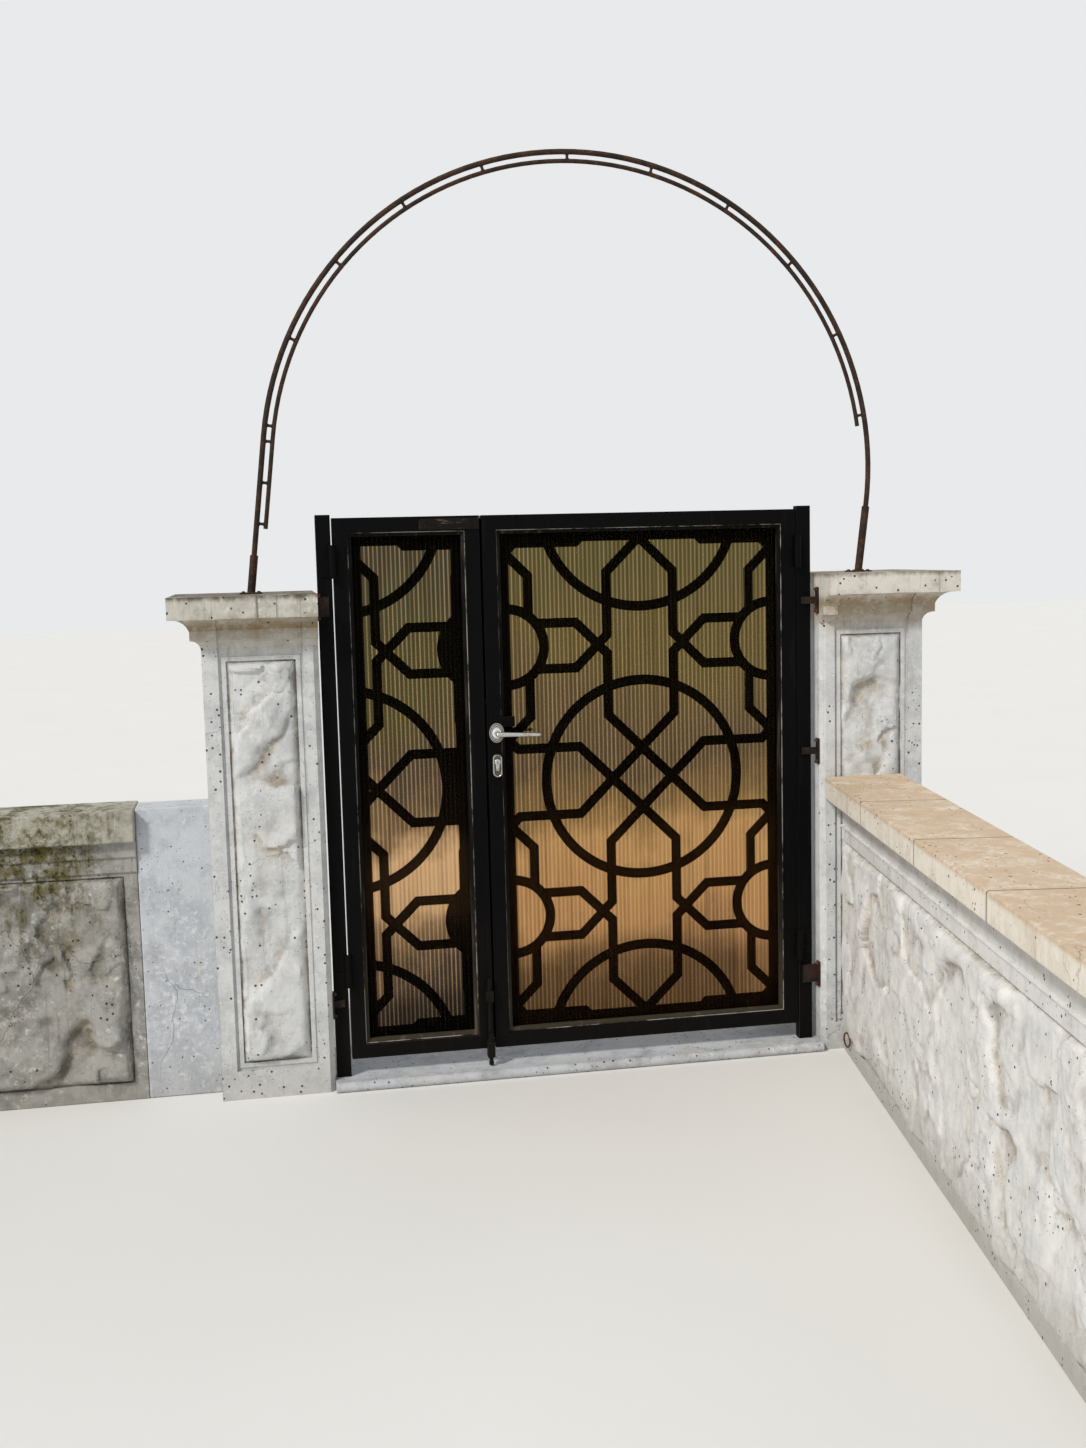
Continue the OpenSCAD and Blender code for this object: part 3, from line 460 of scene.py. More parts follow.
# %% Finishes of the solids
FINISHES = {
    "left_pier_shaft": pier_finish, "right_pier_shaft": pier_finish,
    "left_pier_cap": left_cap_finish, "right_pier_cap": cap_finish,
    "left_wall_pad": pad_finish, "left_low_wall": left_wall_finish,
    "left_wall_coping": grey_coping_finish, "right_low_wall": wall_finish,
    "right_wall_coping": ochre_coping_finish, "threshold": threshold_finish,
    "arch_main_hoop": arch_rust, "arch_inner_hoop": arch_rust, "arch_rungs": arch_rust,
    "arch_sockets": arch_rust, "iron_ring": rusty_iron,
    "left_leaf_bead": bead_paint, "right_leaf_bead": bead_paint,
    "left_leaf_sheet": left_sheet, "right_leaf_sheet": right_sheet,
    "left_leaf_lattice": lattice_paint_and_keyway_shade, "right_leaf_lattice": lattice_paint_and_keyway_shade,
    "top_rail_plate": worn_black, "drop_bolt": bolt_paint, "drop_bolt_guides": bolt_paint,
    "left_post_lugs": lug_paint, "right_post_lugs": lug_paint,
    "strike_plate": lock_steel, "lock_faceplate": lock_steel,
    "handle_roses": nickel, "cylinder_escutcheons": nickel, "lever_handles": nickel,
}
for node, solid in frame["nodes"].items():
    solid.data.materials.clear()
    solid.data.materials.append(FINISHES.get(node, black_paint))
print("solids with a finish:", len(frame["nodes"]))

# %% [markdown]
# ## Tools for modelling
# New pieces are made with the operators that one would use by hand. A few
# helpers save words: they select one piece alone, open it for editing, close it
# with its faces turned outwards, move, resize or draw out what is selected, and
# mark the faces or verts that pass a test, such as lying in front.

# %% Select, edit, mark and hand over
def activate(piece):
    bpy.ops.object.select_all(action="DESELECT")
    piece.select_set(True)
    bpy.context.view_layer.objects.active = piece


def settle():
    """Write the selected piece's place, turn and size into its points."""
    bpy.ops.object.transform_apply(location=True, rotation=True, scale=True)


def open_up():
    bpy.ops.object.mode_set(mode="EDIT")
    bpy.ops.mesh.select_all(action="SELECT")


def leave():
    bpy.ops.object.mode_set(mode="OBJECT")


def close_up():
    bpy.ops.mesh.select_all(action="SELECT")
    bpy.ops.mesh.normals_make_consistent(inside=False)
    leave()


def move(*step):
    bpy.ops.transform.translate(value=step)


def resize(factors, centre=(0, 0, 0)):
    bpy.ops.transform.resize(value=factors, center_override=centre)


def draw_out(*step):
    bpy.ops.mesh.extrude_region_move(TRANSFORM_OT_translate={"value": step})


def rounded(piece, width, segments=2):
    """Leave a bevel on the piece for later."""
    arris = piece.modifiers.new("arris", "BEVEL")
    arris.width, arris.segments = width, segments
    return arris


def carve(piece):
    """Apply the piece's modifiers in their order."""
    for modifier in list(piece.modifiers):
        bpy.ops.object.modifier_apply(modifier=modifier.name)


def mark(piece, kind, test):
    """In edit mode, select only the faces or verts that pass the test."""
    bpy.ops.mesh.select_mode(type=kind)
    bpy.ops.mesh.select_all(action="DESELECT")
    mesh = bmesh.from_edit_mesh(piece.data)
    for part in {"FACE": mesh.faces, "VERT": mesh.verts}[kind]:
        part.select_set(bool(test(part)))
    mesh.select_flush_mode()
    bmesh.update_edit_mesh(piece.data)


def hand_over(piece, name, body, finishes, turn=30):
    """Apply what is left, smooth the piece by angle, and let it ride on its body."""
    activate(piece)
    settle()
    carve(piece)
    bpy.ops.object.shade_smooth_by_angle(angle=math.radians(turn))
    piece.name = piece.data.name = name
    for finish in finishes:
        piece.data.materials.append(finish)
    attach(piece, body)
    print(name, len(piece.data.polygons), "faces on", body)
    return piece


# %% [markdown]
# ## Edges that are not sharp
# A tube has a small radius, and a casting's arris is rubbed round, so no real
# edge is sharp. The solids stay as they are; each of these pieces is a copy with
# its triangles joined to faces again, whose edges are then bevelled. The bevel
# can have a second finish, for that is where paint wears.

# %% Copies with worn edges
ARRIS_ANGLE, SMOOTH_ANGLE = math.radians(30), math.radians(50)


def worked(node, width, edge=None, segments=2):
    """A copy of a node with bevelled edges, which stands for it from now on."""
    solid = frame["nodes"][node]
    piece = added(node + "_worked", solid.data.copy())
    activate(piece)
    bpy.ops.mesh.customdata_custom_splitnormals_clear()
    open_up()
    bpy.ops.mesh.remove_doubles(threshold=1e-5)
    bpy.ops.mesh.dissolve_limited(angle_limit=math.radians(1))
    close_up()
    bevel = rounded(piece, width, segments)
    bevel.limit_method = "ANGLE"
    bevel.angle_limit = ARRIS_ANGLE
    if edge:
        piece.data.materials.append(edge)
        bevel.material = 1
    carve(piece)
    bpy.ops.object.shade_smooth_by_angle(angle=SMOOTH_ANGLE)
    piece.modifiers.new("weigh", "WEIGHTED_NORMAL").keep_sharp = True
    carve(piece)
    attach(piece, solid["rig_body"])
    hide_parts(node)
    print(piece.name, len(piece.data.polygons), "faces")
    return piece


for width, edge, nodes in (
        (0.0013, worn_edge, ("left_leaf_frame", "right_leaf_frame")),
        (0.0022, worn_edge, ("left_gate_post", "right_gate_post")),
        (0.0010, worn_edge, ("post_caps", "stile_block")),
        (0.0007, None, ("left_post_lugs", "right_post_lugs", "strike_plate", "lock_faceplate")),
        (0.0009, worn_edge, ("top_rail_plate", "drop_bolt_guides", "drop_bolt")),
        (0.0015, None, ("left_leaf_bead", "right_leaf_bead")),
        (0.0008, worn_edge, ("left_leaf_knuckles", "right_leaf_knuckles", "post_hinge_pins"))):
    for node in nodes:
        worked(node, width, edge)

# %% [markdown]
# The lattice plate hangs right behind the sheet. Two faces in one plane would
# flicker against each other, and the real plate keeps the thickness of its paint
# away from the sheet, so the copies' front faces are drawn back by that much.

# %% Lattice plates behind the sheet
PAINT_GAP, FRONT_EDGE = 0.0006, 0.0008
for node in ("left_leaf_lattice", "right_leaf_lattice"):
    plate = worked(node, 0.0003, None, 1)
    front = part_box(node)[0][1]
    activate(plate)
    open_up()
    mark(plate, "VERT", lambda vert: vert.co.y < front + FRONT_EDGE)
    move(0, PAINT_GAP, 0)
    leave()
    print(plate.name, "front moved back to", round(front + PAINT_GAP, 4))

# %% Castings with rubbed arrises
for width, nodes in ((0.003, ("left_pier_shaft", "right_pier_shaft")),
                     (0.004, ("left_pier_cap", "right_pier_cap")),
                     (0.005, ("left_wall_pad",)), (0.003, ("left_low_wall", "right_low_wall")),
                     (0.006, ("left_wall_coping",)), (0.005, ("right_wall_coping",)),
                     (0.002, ("threshold",))):
    for node in nodes:
        worked(node, width)

# %% [markdown]
# ## Rock faces
# The sunk panels of piers and walls are cast as broken stone: tilted planes a
# hand or two wide that meet in bent ledges, with a long grain across them. A bump
# map would look flat from the side, so a fine grid is really pushed out. Noise
# alone gives rounded lumps, like dough, so the planes are worked out here: each
# belongs to one cell of a shaken grid, and has a height and a tilt of its own.

# %% Planes of broken stone
ROCK_CELL, ROCK_RIM, DICE = 0.005, 0.020, 32
CREVICE_CELLS, CREVICE_DEPTH = 5, 0.004


def eased(value, low, high):
    share = np.clip((value - low) / (high - low), 0, 1)
    return share * share * (3 - 2 * share)


def wander(u, v, size, seed, octaves=2):
    """A slow drift between -1 and 1 over the face."""
    return np.array([noise.fractal(Vector((a / size, b / size, seed)), 1.0, 2.0, octaves)
                     for a, b in zip(u, v)])


def broken_planes(u, v, size, long, lean, seed, steep):
    """Heights of tilted planes. Their cells are size across, long times as long and lean."""
    dice = np.random.default_rng(round(seed * 100)).random((DICE, DICE, 5))
    c, s = math.cos(math.radians(lean)), math.sin(math.radians(lean))
    bend = 0.5 * size
    u = u + wander(u, v, size * 1.1, seed) * bend
    v = v + wander(u, v, size * 1.1, seed + 9) * bend
    a, b = (u * c + v * s) / (size * long), (v * c - u * s) / size
    column, row = np.floor(a).astype(int), np.floor(b).astype(int)
    nearest, height = np.full(a.shape, 9.0), np.zeros(a.shape)
    for i in (-1, 0, 1):
        for j in (-1, 0, 1):
            cell = dice[(column + i) % DICE, (row + j) % DICE]
            da, db = a - column - i - cell[:, 0], b - row - j - cell[:, 1]
            away = da * da + db * db
            plane = (cell[:, 2] * 0.7 + (cell[:, 3] - 0.5) * steep * da
                     + (cell[:, 4] - 0.8) * steep * db)
            height = np.where(away < nearest, plane, height)
            nearest = np.minimum(away, nearest)
    return np.clip(height * 0.8 + 0.25, 0, 1)


def crevices(rise, columns):
    """How deep each point lies under the mean of its surroundings, from 0 to 1."""
    grid = np.array(rise).reshape(-1, columns)
    mean, reach, count = grid, (CREVICE_CELLS, CREVICE_CELLS), 2 * CREVICE_CELLS + 1
    for axis in (0, 1, 0, 1):
        padded = np.pad(mean, [reach if axis == k else (0, 0) for k in (0, 1)], "edge")
        mean = sum(np.take(padded, range(k, k + grid.shape[axis]), axis)
                   for k in range(count)) / count
    return np.clip((mean - grid) / CREVICE_DEPTH, 0, 1).ravel()


# %% A panel of broken stone
# how far each cloud pushes, and its size and depth: a slow swell, grain and pecks
SWELL, GRAIN, PECKS = (0.010, 0.22, 1), (0.0034, 0.030, 3), (0.0022, 0.011, 2)
CLOUD_LEVEL, GRAIN_LEAN, GRAIN_LONG = 0.4, math.radians(20), 3.2
# how far the grid starts off the floor, how far its skirt goes back, and how much soil colour and
# painted shade it gets
PROUD, SKIRT, SKIRT_SOIL_AND_SHADE = 0.002, 0.004, 0.3


def rock_face(name, slot, finish, middle, width, height, facing, seed, size, long, lean, rise):
    """The middle lies on the sunk floor, and facing turns a face that looks along -Y.
    The planes have a size, are long times as long, lean by degrees, and rise in metres.
    """
    turn = math.radians(facing)
    along = Vector((math.cos(turn), math.sin(turn), 0))
    out = Vector((math.sin(turn), -math.cos(turn), 0))
    middle = Vector(middle) + out * PROUD
    columns, rows = round(width / ROCK_CELL), round(height / ROCK_CELL)
    bpy.ops.mesh.primitive_grid_add(x_subdivisions=columns, y_subdivisions=rows, size=1,
                                    location=middle, rotation=(math.pi / 2, 0, turn))
    piece = bpy.context.object
    piece.scale = (width, height, 1)
    settle()
    away = np.array([vertex.co - middle for vertex in piece.data.vertices])
    u, v = away @ np.array(along), away[:, 2]
    inner = eased(np.minimum(width / 2 - abs(u), height / 2 - abs(v)), 0, ROCK_RIM)
    crisp = eased(wander(u, v, size * 2.2, seed + 3), -0.35, 0.02)
    weights = {"inner": inner, "soft": inner * (1 - crisp),
               "planes": inner * broken_planes(u, v, size, long, lean, seed, 0.9),
               "chips": inner * broken_planes(u, v, size * 0.34, 1.5, lean + 30, seed + 5, 1.1)
               * eased(wander(u, v, size * 1.3, seed + 6), -0.05, 0.3)}
    for key, values in weights.items():
        group = piece.vertex_groups.new(name=key)
        for index, value in enumerate(values):
            group.add([index], float(value), "REPLACE")
    grain_turn = added("grain_turn", None)
    grain_turn.rotation_euler = (0, GRAIN_LEAN, turn)
    grain_turn.scale = (1, 1, GRAIN_LONG)
    bpy.context.view_layer.update()

    def push(amount, group):
        made = piece.modifiers.new("push", "DISPLACE")
        made.strength, made.mid_level, made.vertex_group = amount, 0, group
        return made

    def push_cloud(amount, cloud, depth, turned_by=None):
        made = push(amount, "inner")
        made.mid_level = CLOUD_LEVEL
        made.texture = bpy.data.textures.new("rock_cloud", "CLOUDS")
        made.texture.noise_scale, made.texture.noise_depth = cloud, depth
        made.texture_coords = "OBJECT" if turned_by else "GLOBAL"
        made.texture_coords_object = turned_by

    def soften(times, group):
        made = piece.modifiers.new("soften", "SMOOTH")
        made.factor, made.iterations, made.vertex_group = 0.5, times, group

    push(rise, "planes")
    soften(14, "soft")
    push(rise * 0.35, "chips")
    push_cloud(*SWELL)
    soften(2, "inner")
    push_cloud(*GRAIN, grain_turn)
    push_cloud(*PECKS)
    carve(piece)
    bpy.data.objects.remove(grain_turn)
    rises = [(vertex.co - middle).dot(out) for vertex in piece.data.vertices]
    deep = crevices(rises, columns + 1)
    bpy.ops.object.mode_set(mode="EDIT")
    bpy.ops.mesh.select_mode(type="EDGE")
    bpy.ops.mesh.select_all(action="DESELECT")
    bpy.ops.mesh.select_non_manifold()
    bpy.ops.mesh.extrude_edges_move(TRANSFORM_OT_translate={"value": -out * SKIRT})
    leave()
    # the crevices and the skirt are kept as hollow, where the concrete lays soil colour and
    # painted shade
    hollow = piece.data.attributes.new("hollow", "FLOAT", "POINT")
    skirt = len(piece.data.vertices) - len(rises)
    hollow.data.foreach_set("value", list(deep) + [SKIRT_SOIL_AND_SHADE] * skirt)
    print(name, "rises", round(min(rises) * 1000, 1), "to", round(max(rises) * 1000, 1), "mm")
    hand_over(piece, name, "gateway", [finish], 35)


# %% The panels of the piers and the left wall
# the size of the planes, their length in sizes, their lean in degrees and their rise
PIER_ROCK, LEFT_ROCK = (0.115, 1.6, 42, 0.030), (0.17, 1.7, 50, 0.040)
# the left, right, low and high end of each panel, then the y of the sunk floors
LEFT_PANEL, RIGHT_PANEL = (-0.948, -0.764, 0.100, 1.204), (0.776, 0.960, 0.100, 1.219)
WALL_PANEL = (-2.973, -1.247, 0.050, 0.626)
PANEL_FRONT, PANEL_BACK, WALL_FRONT, WALL_BACK = -0.018, 0.256, 0.050, 0.150
for side, panel, seed in (("left", LEFT_PANEL, 1.7), ("right", RIGHT_PANEL, 4.2)):
    x0, x1, z0, z1 = panel
    for face, y, facing in (("front", PANEL_FRONT, 0), ("back", PANEL_BACK, 180)):
        rock_face(side + "_pier_rock_" + face, "pier_concrete", pier_finish,
                  ((x0 + x1) / 2, y, (z0 + z1) / 2), x1 - x0, z1 - z0, facing,
                  seed + facing, *PIER_ROCK)
x0, x1, z0, z1 = WALL_PANEL
for face, y, facing in (("garden", WALL_FRONT, 0), ("street", WALL_BACK, 180)):
    rock_face("left_wall_rock_" + face, "wall_concrete", left_wall_finish,
              ((x0 + x1) / 2, y, (z0 + z1) / 2), x1 - x0, z1 - z0, facing, 7.3, *LEFT_ROCK)

# %% The panels of the right wall
RIGHT_ROCK = (0.17, 1.3, -32, 0.032)
RIGHT_WALL_START = Vector((0.776, -0.065, 0))
WALL_ALONG = Vector((math.cos(WALL_TURN), math.sin(WALL_TURN), 0))
WALL_ACROSS = Vector((-math.sin(WALL_TURN), math.cos(WALL_TURN), 0))
RIGHT_WALL_L, z0, z1 = 1.963, 0.050, 0.625
for face, depth, facing in (("garden", 0.010, 0), ("street", 0.110, 180)):
    middle = RIGHT_WALL_START + WALL_ALONG * RIGHT_WALL_L / 2 + WALL_ACROSS * depth
    middle.z = (z0 + z1) / 2
    rock_face("right_wall_rock_" + face, "wall_concrete", wall_finish, middle,
              RIGHT_WALL_L, z1 - z0, math.degrees(WALL_TURN) + facing, 2.9, *RIGHT_ROCK)

# %% [markdown]
# ## Turned parts
# Roses, nuts, screws and welds are all round parts built up from a disc. One
# helper starts with a disc and raises its top face step by step, each time to a
# new radius, which is how such a part is turned. Sides of six make a nut.

# %% Turn a part, set it in place, copy it, join copies
def turned(steps, sides=48, tall=1.0):
    """A part along +Z: each step is a radius and a height. tall makes it oval along Y."""
    radius, level = steps[0]
    bpy.ops.mesh.primitive_circle_add(vertices=sides, radius=radius, fill_type="NGON")
    open_up()
    move(0, 0, level)
    for wide, high in steps[1:]:
        draw_out(0, 0, high - level)
        resize((wide / radius, wide / radius, 1), (0, 0, high))
        radius, level = wide, high
    bpy.ops.mesh.select_all(action="SELECT")
    resize((1, tall, 1))
    close_up()
    return bpy.context.object


def set_on(piece, place, towards):
    """Stand a part on a place so that its +Z looks towards a direction and +Y up."""
    piece.location = place
    piece.rotation_euler = Vector(towards).to_track_quat("Z", "Y").to_euler()
    activate(piece)
    settle()
    return piece


def repeated(piece, spots):
    """Copies of one part at many spots, each a place and a direction, joined."""
    copies = [set_on(added(piece.name, piece.data.copy()), place, towards)
              for place, towards in spots]
    bpy.data.objects.remove(piece)
    return joined(copies)


def joined(parts):
    activate(parts[0])
    for part in parts:
        part.select_set(True)
    bpy.ops.object.join()
    return parts[0]


# %% [markdown]
# ## Lock furniture
# The rose is an oval cover with rings pressed into it, and the grip is a slim bar
# that droops a little towards its tip. The solid model has both plain. The real
# ones are cast, with no flat faces, so the grip is drawn out of an oval disc ring
# by ring and then subdivided once. Each stands where its solid is.

# %% Roses
SPINDLE_X, LEVER_Z, CYLINDER_Z, LEAF_T = -0.221, 0.977, 0.885, 0.040
OVAL = 55 / 42
COVER = [(0.0210, 0), (0.0210, 0.0024), (0.0204, 0.0036), (0.0190, 0.0040), (0.0183, 0.0030),
         (0.0174, 0.0030), (0.0167, 0.0044), (0.0150, 0.0050), (0.0143, 0.0041),
         (0.0136, 0.0041), (0.0131, 0.0049)]
COLLAR = [(0.0128, 0.003), (0.0128, 0.0082), (0.0121, 0.0090), (0.0092, 0.0090)]
GROOVES = ((0.0170, 0.0192), (0.0131, 0.0145))
# both faces of the leaf: name, y and which way along Y it looks
faces = (("garden", 0.0, -1), ("street", LEAF_T, 1))


def in_groove(part):
    """Faces of the cover between the rings, and its outer slope, which get painted shade."""
    middle = part.calc_center_median()
    away = math.hypot(middle.x, middle.y / OVAL)
    return any(low < away < high for low, high in GROOVES)


def nickel_with_painted_shade(piece, test):
    """Give the piece nickel, and the darker nickel as painted shade on the faces that pass the
    test.
    """
    piece.data.materials.append(nickel)
    piece.data.materials.append(groove_shade_nickel)
    activate(piece)
    open_up()
    mark(piece, "FACE", test)
    piece.active_material_index = 1
    bpy.ops.object.material_slot_assign()
    leave()


for face, y, side in faces:
    cover = turned(COVER, 64, OVAL)
    nickel_with_painted_shade(cover, in_groove)
    parts = [set_on(part, (SPINDLE_X, y, LEVER_Z), (0, side, 0))
             for part in (cover, turned(COLLAR))]
    rose = hand_over(joined(parts), face + "_rose", "right_leaf", [], 35)
    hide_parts("handle_roses")

# %% Lever handles
GRIP_OUT = 0.048
NECK = [(0.0080, 0.006), (0.0080, 0.016), (0.0074, 0.028), (0.0074, 0.0475)]
# millimetres along the grip, half its height, half its thickness and its drop
GRIP_RINGS = [(-8.4, 2.0, 1.4, 0.0), (-7.6, 4.6, 3.4, 0.0), (-5.2, 6.8, 5.2, 0.0),
              (0, 7.6, 5.7, 0.0), (14, 7.0, 5.3, 0.5), (40, 6.2, 4.8, 1.6), (75, 5.6, 4.6, 3.2),
              (103, 5.3, 4.5, 4.4), (111, 4.8, 4.1, 4.8), (116, 3.4, 2.8, 5.0),
              (118, 1.4, 1.1, 5.1)]
for face, y, side in faces:
    neck = set_on(turned(NECK, 32), (SPINDLE_X, y, LEVER_Z), (0, side, 0))
    bpy.ops.mesh.primitive_circle_add(vertices=20, radius=1, fill_type="NGON",
                                      rotation=(0, math.pi / 2, 0))
    grip = bpy.context.object
    settle()
    open_up()
    past = None
    for along, half_h, half_t, drop in [[v / 1000 for v in ring] for ring in GRIP_RINGS]:
        if past:
            draw_out(along - past[0], 0, past[3] - drop)
            resize((1, half_t / past[2], half_h / past[1]), (along, 0, -drop))
        else:
            resize((1, half_t, half_h))
            move(along, 0, 0)
        past = (along, half_h, half_t, drop)
    close_up()
    rounding = grip.modifiers.new("rounding", "SUBSURF")
    rounding.levels = rounding.render_levels = 1
    carve(grip)
    grip.location = (SPINDLE_X, y + side * GRIP_OUT, LEVER_Z)
    settle()
    lever = hand_over(joined([neck, grip]), face + "_lever", "lever", [nickel], 50)
    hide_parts("lever_handles")

# %% [markdown]
# The cylinder's plate is a long oval with a raised rim round a shallow dish. The
# halves of a disc are pulled apart for the outline; insets with a depth give
# the rim, and the lock cylinder with its round top stands in the dish.

# %% Cylinder plates
PLATE_W = 0.028
# width, height and shift up, then steps of how far inwards and how far out
PLATE_PARTS = ((PLATE_W, 0.067, 0, ((0, 0.0045), (0.0012, 0.0018), (0.0016, 0.0012),
                                    (0.0016, -0.0006), (0.0010, -0.0014))),
               (0.017, 0.017, 0.010, ((0, 0.0072), (0.0006, 0.0005))),
               (0.010, 0.026, -0.0015, ((0, 0.0070), (0.0006, 0.0005))))
KEY_SLOT, KEY_OUT, KEY_UP = (0.0016, 0.0012, 0.0090), 0.0074, 0.010


def in_dish(part):
    middle = part.calc_center_median()
    return 0.0030 < middle.z < 0.0071 and abs(middle.x) < 0.0100


for face, y, side in faces:
    parts = []
    for wide, tall, shift, steps in PLATE_PARTS:
        bpy.ops.mesh.primitive_circle_add(vertices=48, radius=wide / 2, fill_type="NGON")
        part = bpy.context.object
        open_up()
        for sign in (1, -1):
            mark(part, "VERT", lambda vert: vert.co.y * sign > 1e-5)
            move(0, sign * (tall - wide) / 2, 0)
        bpy.ops.mesh.select_mode(type="FACE")
        bpy.ops.mesh.select_all(action="SELECT")
        move(0, shift, 0)
        for inward, rise in steps:
            if inward:
                bpy.ops.mesh.inset(thickness=inward, depth=rise)
            else:
                draw_out(0, 0, rise)
        close_up()
        # the dish of the cylinder plate gets the darker nickel as painted shade
        nickel_with_painted_shade(part, lambda spot: wide == PLATE_W and in_dish(spot))
        parts.append(set_on(part, (SPINDLE_X, y, CYLINDER_Z), (0, side, 0)))
    plate = hand_over(joined(parts), face + "_cylinder_plate", "right_leaf", [], 40)
    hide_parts("cylinder_escutcheons")
    # the keyway is a small black block; its dark is painted shade of the slot
    bpy.ops.mesh.primitive_cube_add(
        size=1, location=(SPINDLE_X, y + side * KEY_OUT, CYLINDER_Z + KEY_UP))
    slot = bpy.context.object
    slot.scale = KEY_SLOT
    settle()
    rounded(slot, 0.0003, 1)
    hand_over(slot, face + "_key_slot", "right_leaf", [lattice_paint_and_keyway_shade])

# %% [markdown]
# ## Small fastenings
# The lugs are held to the piers by studs with nuts and washers, the arch's feet
# and the plate on the top rail by four screws each. They are modelled once, with
# few faces, and repeated.

# %% Nuts on the anchor plates
# for each side, the heights of its lugs and the place of their plates' faces
LUGS = ((-1, (0.240, 1.340), -0.698), (1, (0.225, 0.884, 1.318), 0.710))
STUD_Y, STUD_STEP = -0.013, 0.0310
spots = [((x, STUD_Y, z + step), (-side, 0, 0)) for side, heights, x in LUGS
         for z in heights for step in (-STUD_STEP, STUD_STEP)]
nut = joined([turned([(0.0066, 0), (0.0066, 0.0010), (0.0060, 0.0013)], 20),
              turned([(0.0052, 0.0011), (0.0052, 0.0046), (0.0046, 0.0052)], 6),
              turned([(0.0029, 0.0050), (0.0029, 0.0068), (0.0023, 0.0074)], 12)])
hand_over(repeated(nut, spots), "anchor_nuts", "gateway", [rusty_iron])

# %% Screws of the arch's feet
FEET, FOOT_Y, SCREW_STEP = ((0.890, 1.397), (-0.874, 1.382)), 0.120, 0.021
screw = turned([(0.0056, 0), (0.0054, 0.0012), (0.0042, 0.0028), (0.0022, 0.0034)], 16)
spots = [((x + dx, FOOT_Y + dy, top), (0, 0, 1)) for x, top in FEET
         for dx in (-SCREW_STEP, SCREW_STEP) for dy in (-SCREW_STEP, SCREW_STEP)]
hand_over(repeated(screw, spots), "arch_foot_screws", "gateway", [rusty_iron], 40)

# %% Screws of the top plate
TOP_PLATE_Y = -0.003
screw = turned([(0.0036, 0), (0.0034, 0.0010), (0.0022, 0.0017)], 14)
spots = [((x, TOP_PLATE_Y, z), (0, -1, 0)) for x in (-0.400, -0.275) for z in (1.548, 1.563)]
hand_over(repeated(screw, spots), "top_plate_screws", "left_leaf", [worn_edge], 40)

# %% [markdown]
# Each rung of the arch is welded to both rods. A weld is a small uneven collar,
# and a short cone does for it at a few millimetres. The arch leans by seven
# degrees, so the places are worked out upright and then turned about its middle.

# %% Welds of the arch
ARCH_MIDDLE, ARCH_LEAN = Vector((0.0464, 0.120, 1.6981)), math.radians(7)
MAIN_ROD, INNER_ROD, MAIN_R, INNER_R = 0.8745, 0.8495, 0.0075, 0.0060
WELD_SINK = 0.002
RUNG_ANGLES = [math.radians(17 + 16.1 * i) for i in range(11)]
rungs = [(Vector((math.cos(a), 0, math.sin(a))), 0) for a in RUNG_ANGLES]
rungs += [(Vector((-1, 0, 0)), z) for z in (-0.0125, -0.1247, -0.2369)]
lean = Matrix.Rotation(ARCH_LEAN, 3, "Y")
spots = []
for way_out, z in rungs:
    for radius, way in ((INNER_ROD + INNER_R - WELD_SINK, way_out),
                        (MAIN_ROD - MAIN_R + WELD_SINK, -way_out)):
        spots.append((lean @ (way_out * radius + Vector((0, 0, z))) + ARCH_MIDDLE, lean @ way))
weld = turned([(0.0062, 0), (0.0066, 0.0012), (0.0054, 0.0028), (0.0043, 0.0042)], 12)
hand_over(repeated(weld, spots), "arch_welds", "gateway", [arch_rust], 60)

# %% [markdown]
# ## Sealant round the sheet
# Where the glazing bead meets the tube runs a thin pale line of old sealant. It
# is a flat frame: a plane the size of the opening, inset by the line's width,
# with its middle taken out and the rest drawn forward by its thickness.

# %% Sealant
def sealant_finish():
    f = Finish("sealant_finish", Specular_IOR_Level=0.2)
    broken = f.noise(14, 7, 0.7)
    dirt = f.noise(4, 5, 0.7)
    colour = f.ramp(f.band(broken + (dirt - 0.5) * 0.9, 0.34, 0.60), (0.0, "1b1817"),
                    (0.3, "3a3530"), (0.65, "8b857d"), (1.0, "b5b0a8"))
    return f.finish(colour, 0.75, broken, 0.0008)


sealant = sealant_finish()
SEAL_Y, SEAL_W, SEAL_T = 0.0100, 0.0020, 0.0012
OPENING_LOW, OPENING_HIGH = 0.117, 1.537
for leaf, x0, x1 in (("left", -0.613, -0.293), ("right", -0.207, 0.613)):
    middle = ((x0 + x1) / 2, SEAL_Y, (OPENING_LOW + OPENING_HIGH) / 2)
    bpy.ops.mesh.primitive_plane_add(size=1, location=middle, rotation=(math.pi / 2, 0, 0))
    line = bpy.context.object
    line.scale = (x1 - x0, OPENING_HIGH - OPENING_LOW, 1)
    settle()
    open_up()
    bpy.ops.mesh.select_mode(type="FACE")
    bpy.ops.mesh.inset(thickness=SEAL_W, depth=0)
    bpy.ops.mesh.delete(type="FACE")
    bpy.ops.mesh.select_all(action="SELECT")
    draw_out(0, -SEAL_T, 0)
    close_up()
    rounded(line, 0.0005)
    hand_over(line, leaf + "_sealant", leaf + "_leaf", [sealant], 40)

# %% [markdown]
# ## Closing strip
# The seam between the leaves shows no light, so a strip on the street side of the
# narrow leaf laps over it, as on most double gates: the wide leaf closes against
# it. It is a thin flat bar; its lapping half is set back a little, so that the
# two leaves don't grind, and it stops short of the leaf's ends.

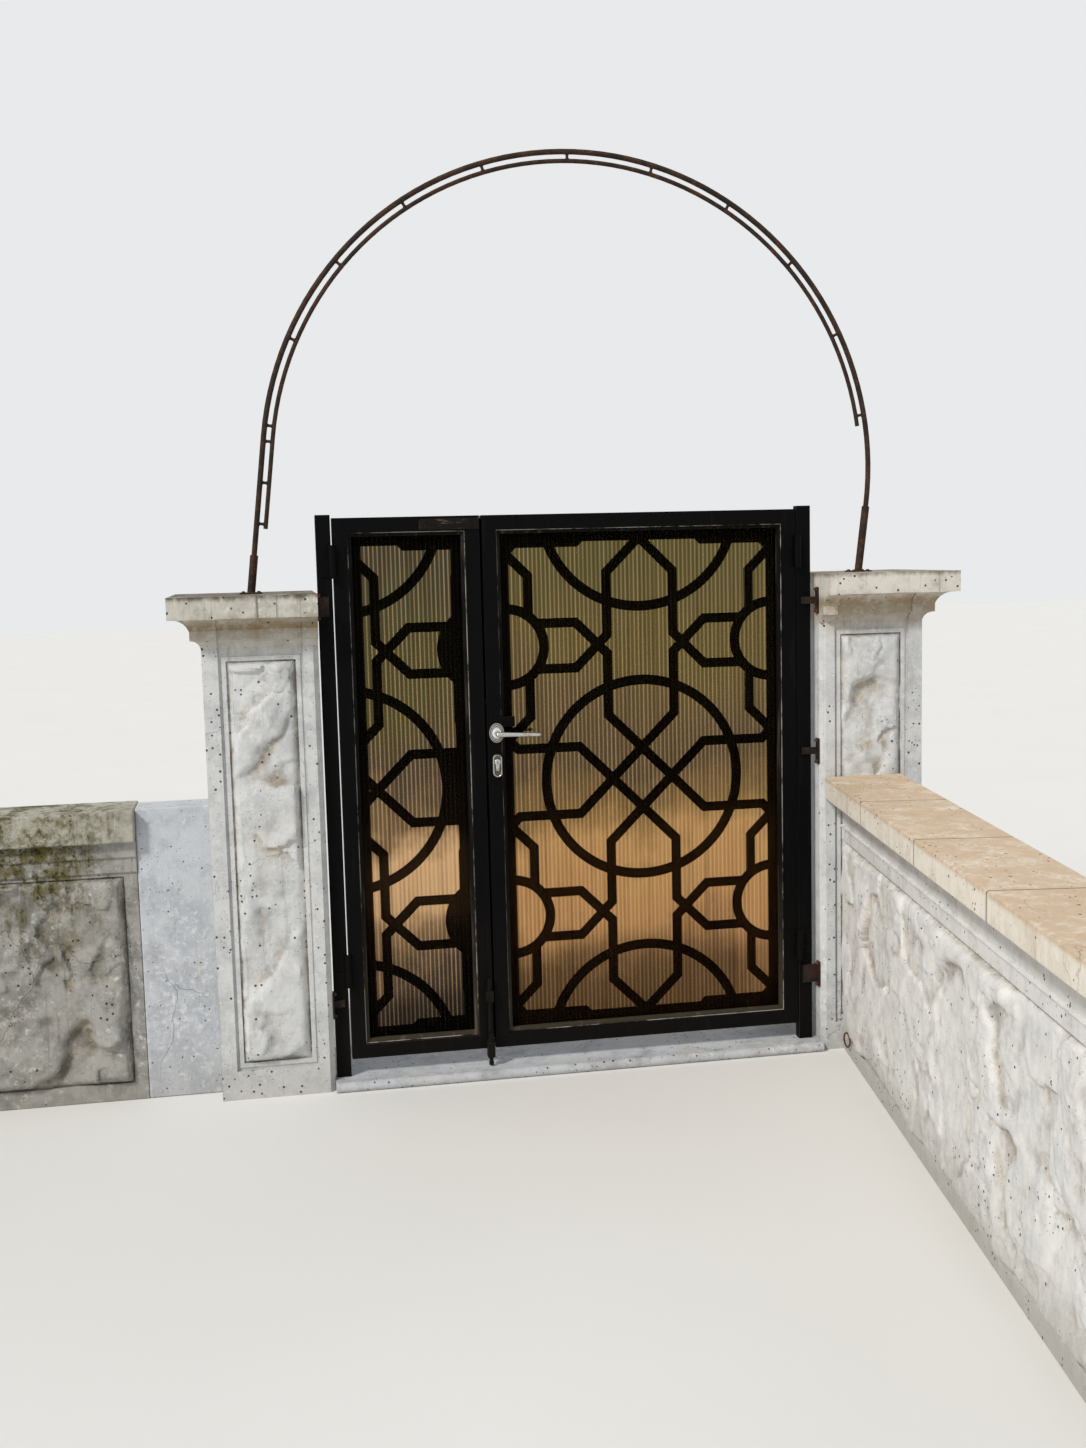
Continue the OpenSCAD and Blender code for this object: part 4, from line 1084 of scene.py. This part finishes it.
# %% Closing strip
# the ends along each axis, then where the lapping half starts, its step and half its slope
STRIP = ((-0.2700, -0.2440), (0.0400, 0.0430), (0.094, 1.571))
LAP_X, LAP_BACK, SLOPE = -0.2550, 0.0012, 0.0006
bpy.ops.mesh.primitive_cube_add(size=1, location=[sum(ends) / 2 for ends in STRIP])
strip = bpy.context.object
strip.scale = [high - low for low, high in STRIP]
settle()
open_up()
for place in (LAP_X - SLOPE, LAP_X + SLOPE):
    bpy.ops.mesh.select_all(action="SELECT")
    bpy.ops.mesh.bisect(plane_co=(place, 0, 0), plane_no=(1, 0, 0))
mark(strip, "VERT", lambda vert: vert.co.x > LAP_X)
move(0, LAP_BACK, 0)
leave()
rounded(strip, 0.0005)
hand_over(strip, "closing_strip", "left_leaf", [black_paint], 40)

# %% [markdown]
# ## Staple of the ring
# The ring's pin goes into the wall through a small round plate, which has rusted.
# It is turned as the nuts are, and then set square to the slanting wall.

# %% Ring plate
pin = RIGHT_WALL_START + WALL_ALONG * 0.065 + WALL_ACROSS * 0.010
pin.z = 0.076
plate = turned([(0.0150, -0.001), (0.0150, 0.0022), (0.0138, 0.0032), (0.0046, 0.0036),
                (0.0040, 0.0060)], 28)
set_on(plate, pin, -WALL_ACROSS)
hand_over(plate, "ring_plate", "gateway", [rusty_iron], 40)

# %% [markdown]
# ## Floor, lamps and sky
# The floor is plain and pale and only carries the shadow. A broad warm sun from
# the upper left is the key, because the real light fell from there, a weak one
# from behind lifts the sides, and a pale sky fills the rest. Nothing may clip.

# %% Floor
bpy.ops.mesh.primitive_plane_add(size=60)
floor = bpy.context.object
floor.name = floor.data.name = "studio_floor"
floor_finish = Finish("studio_floor_finish", Specular_IOR_Level=0.1)
mottle = floor_finish.noise(1.2, 4)
floor.data.materials.append(floor_finish.finish(
    floor_finish.mix("e9e8e5", "e4e3e0", mottle), 0.9))

# %% Lamps
def sun(name, towards, strength, spread, colour):
    lamp = bpy.data.lights.new(name, "SUN")
    lamp.energy = strength
    lamp.angle = math.radians(spread)
    lamp.color = colour
    holder = added(name, lamp)
    holder.rotation_euler = (-Vector(towards)).to_track_quat("-Z", "Y").to_euler()


sun("key_sun", (-0.587, -0.492, 0.643), 2.4, 9, (1.0, 0.965, 0.91))
sun("back_sun", (0.55, 0.62, 0.56), 0.5, 30, (0.92, 0.96, 1.0))

# %% Sky: a cool fill light, and an even pale one for rays that see it
sky = bpy.data.worlds.new("sky")
sky.use_nodes = True
bpy.context.scene.world = sky
nodes, link = sky.node_tree.nodes, sky.node_tree.links.new
fill, seen = nodes["Background"], nodes.new("ShaderNodeBackground")
fill.inputs["Color"].default_value = (0.93, 0.96, 1.0, 1)
fill.inputs["Strength"].default_value = 0.5
seen.inputs["Color"].default_value = tint("e9eaeb")
ray = nodes.new("ShaderNodeLightPath")
sees = ray.outputs["Is Camera Ray"]
for kind in ("Is Glossy Ray", "Is Transmission Ray"):
    either = nodes.new("ShaderNodeMath")
    either.operation = "MAXIMUM"
    link(sees, either.inputs[0])
    link(ray.outputs[kind], either.inputs[1])
    sees = either.outputs[0]
blend = nodes.new("ShaderNodeMixShader")
link(sees, blend.inputs["Fac"])
link(fill.outputs[0], blend.inputs[1])
link(seen.outputs[0], blend.inputs[2])
link(blend.outputs[0], nodes["World Output"].inputs["Surface"])
bpy.context.scene.view_settings.view_transform = "Standard"
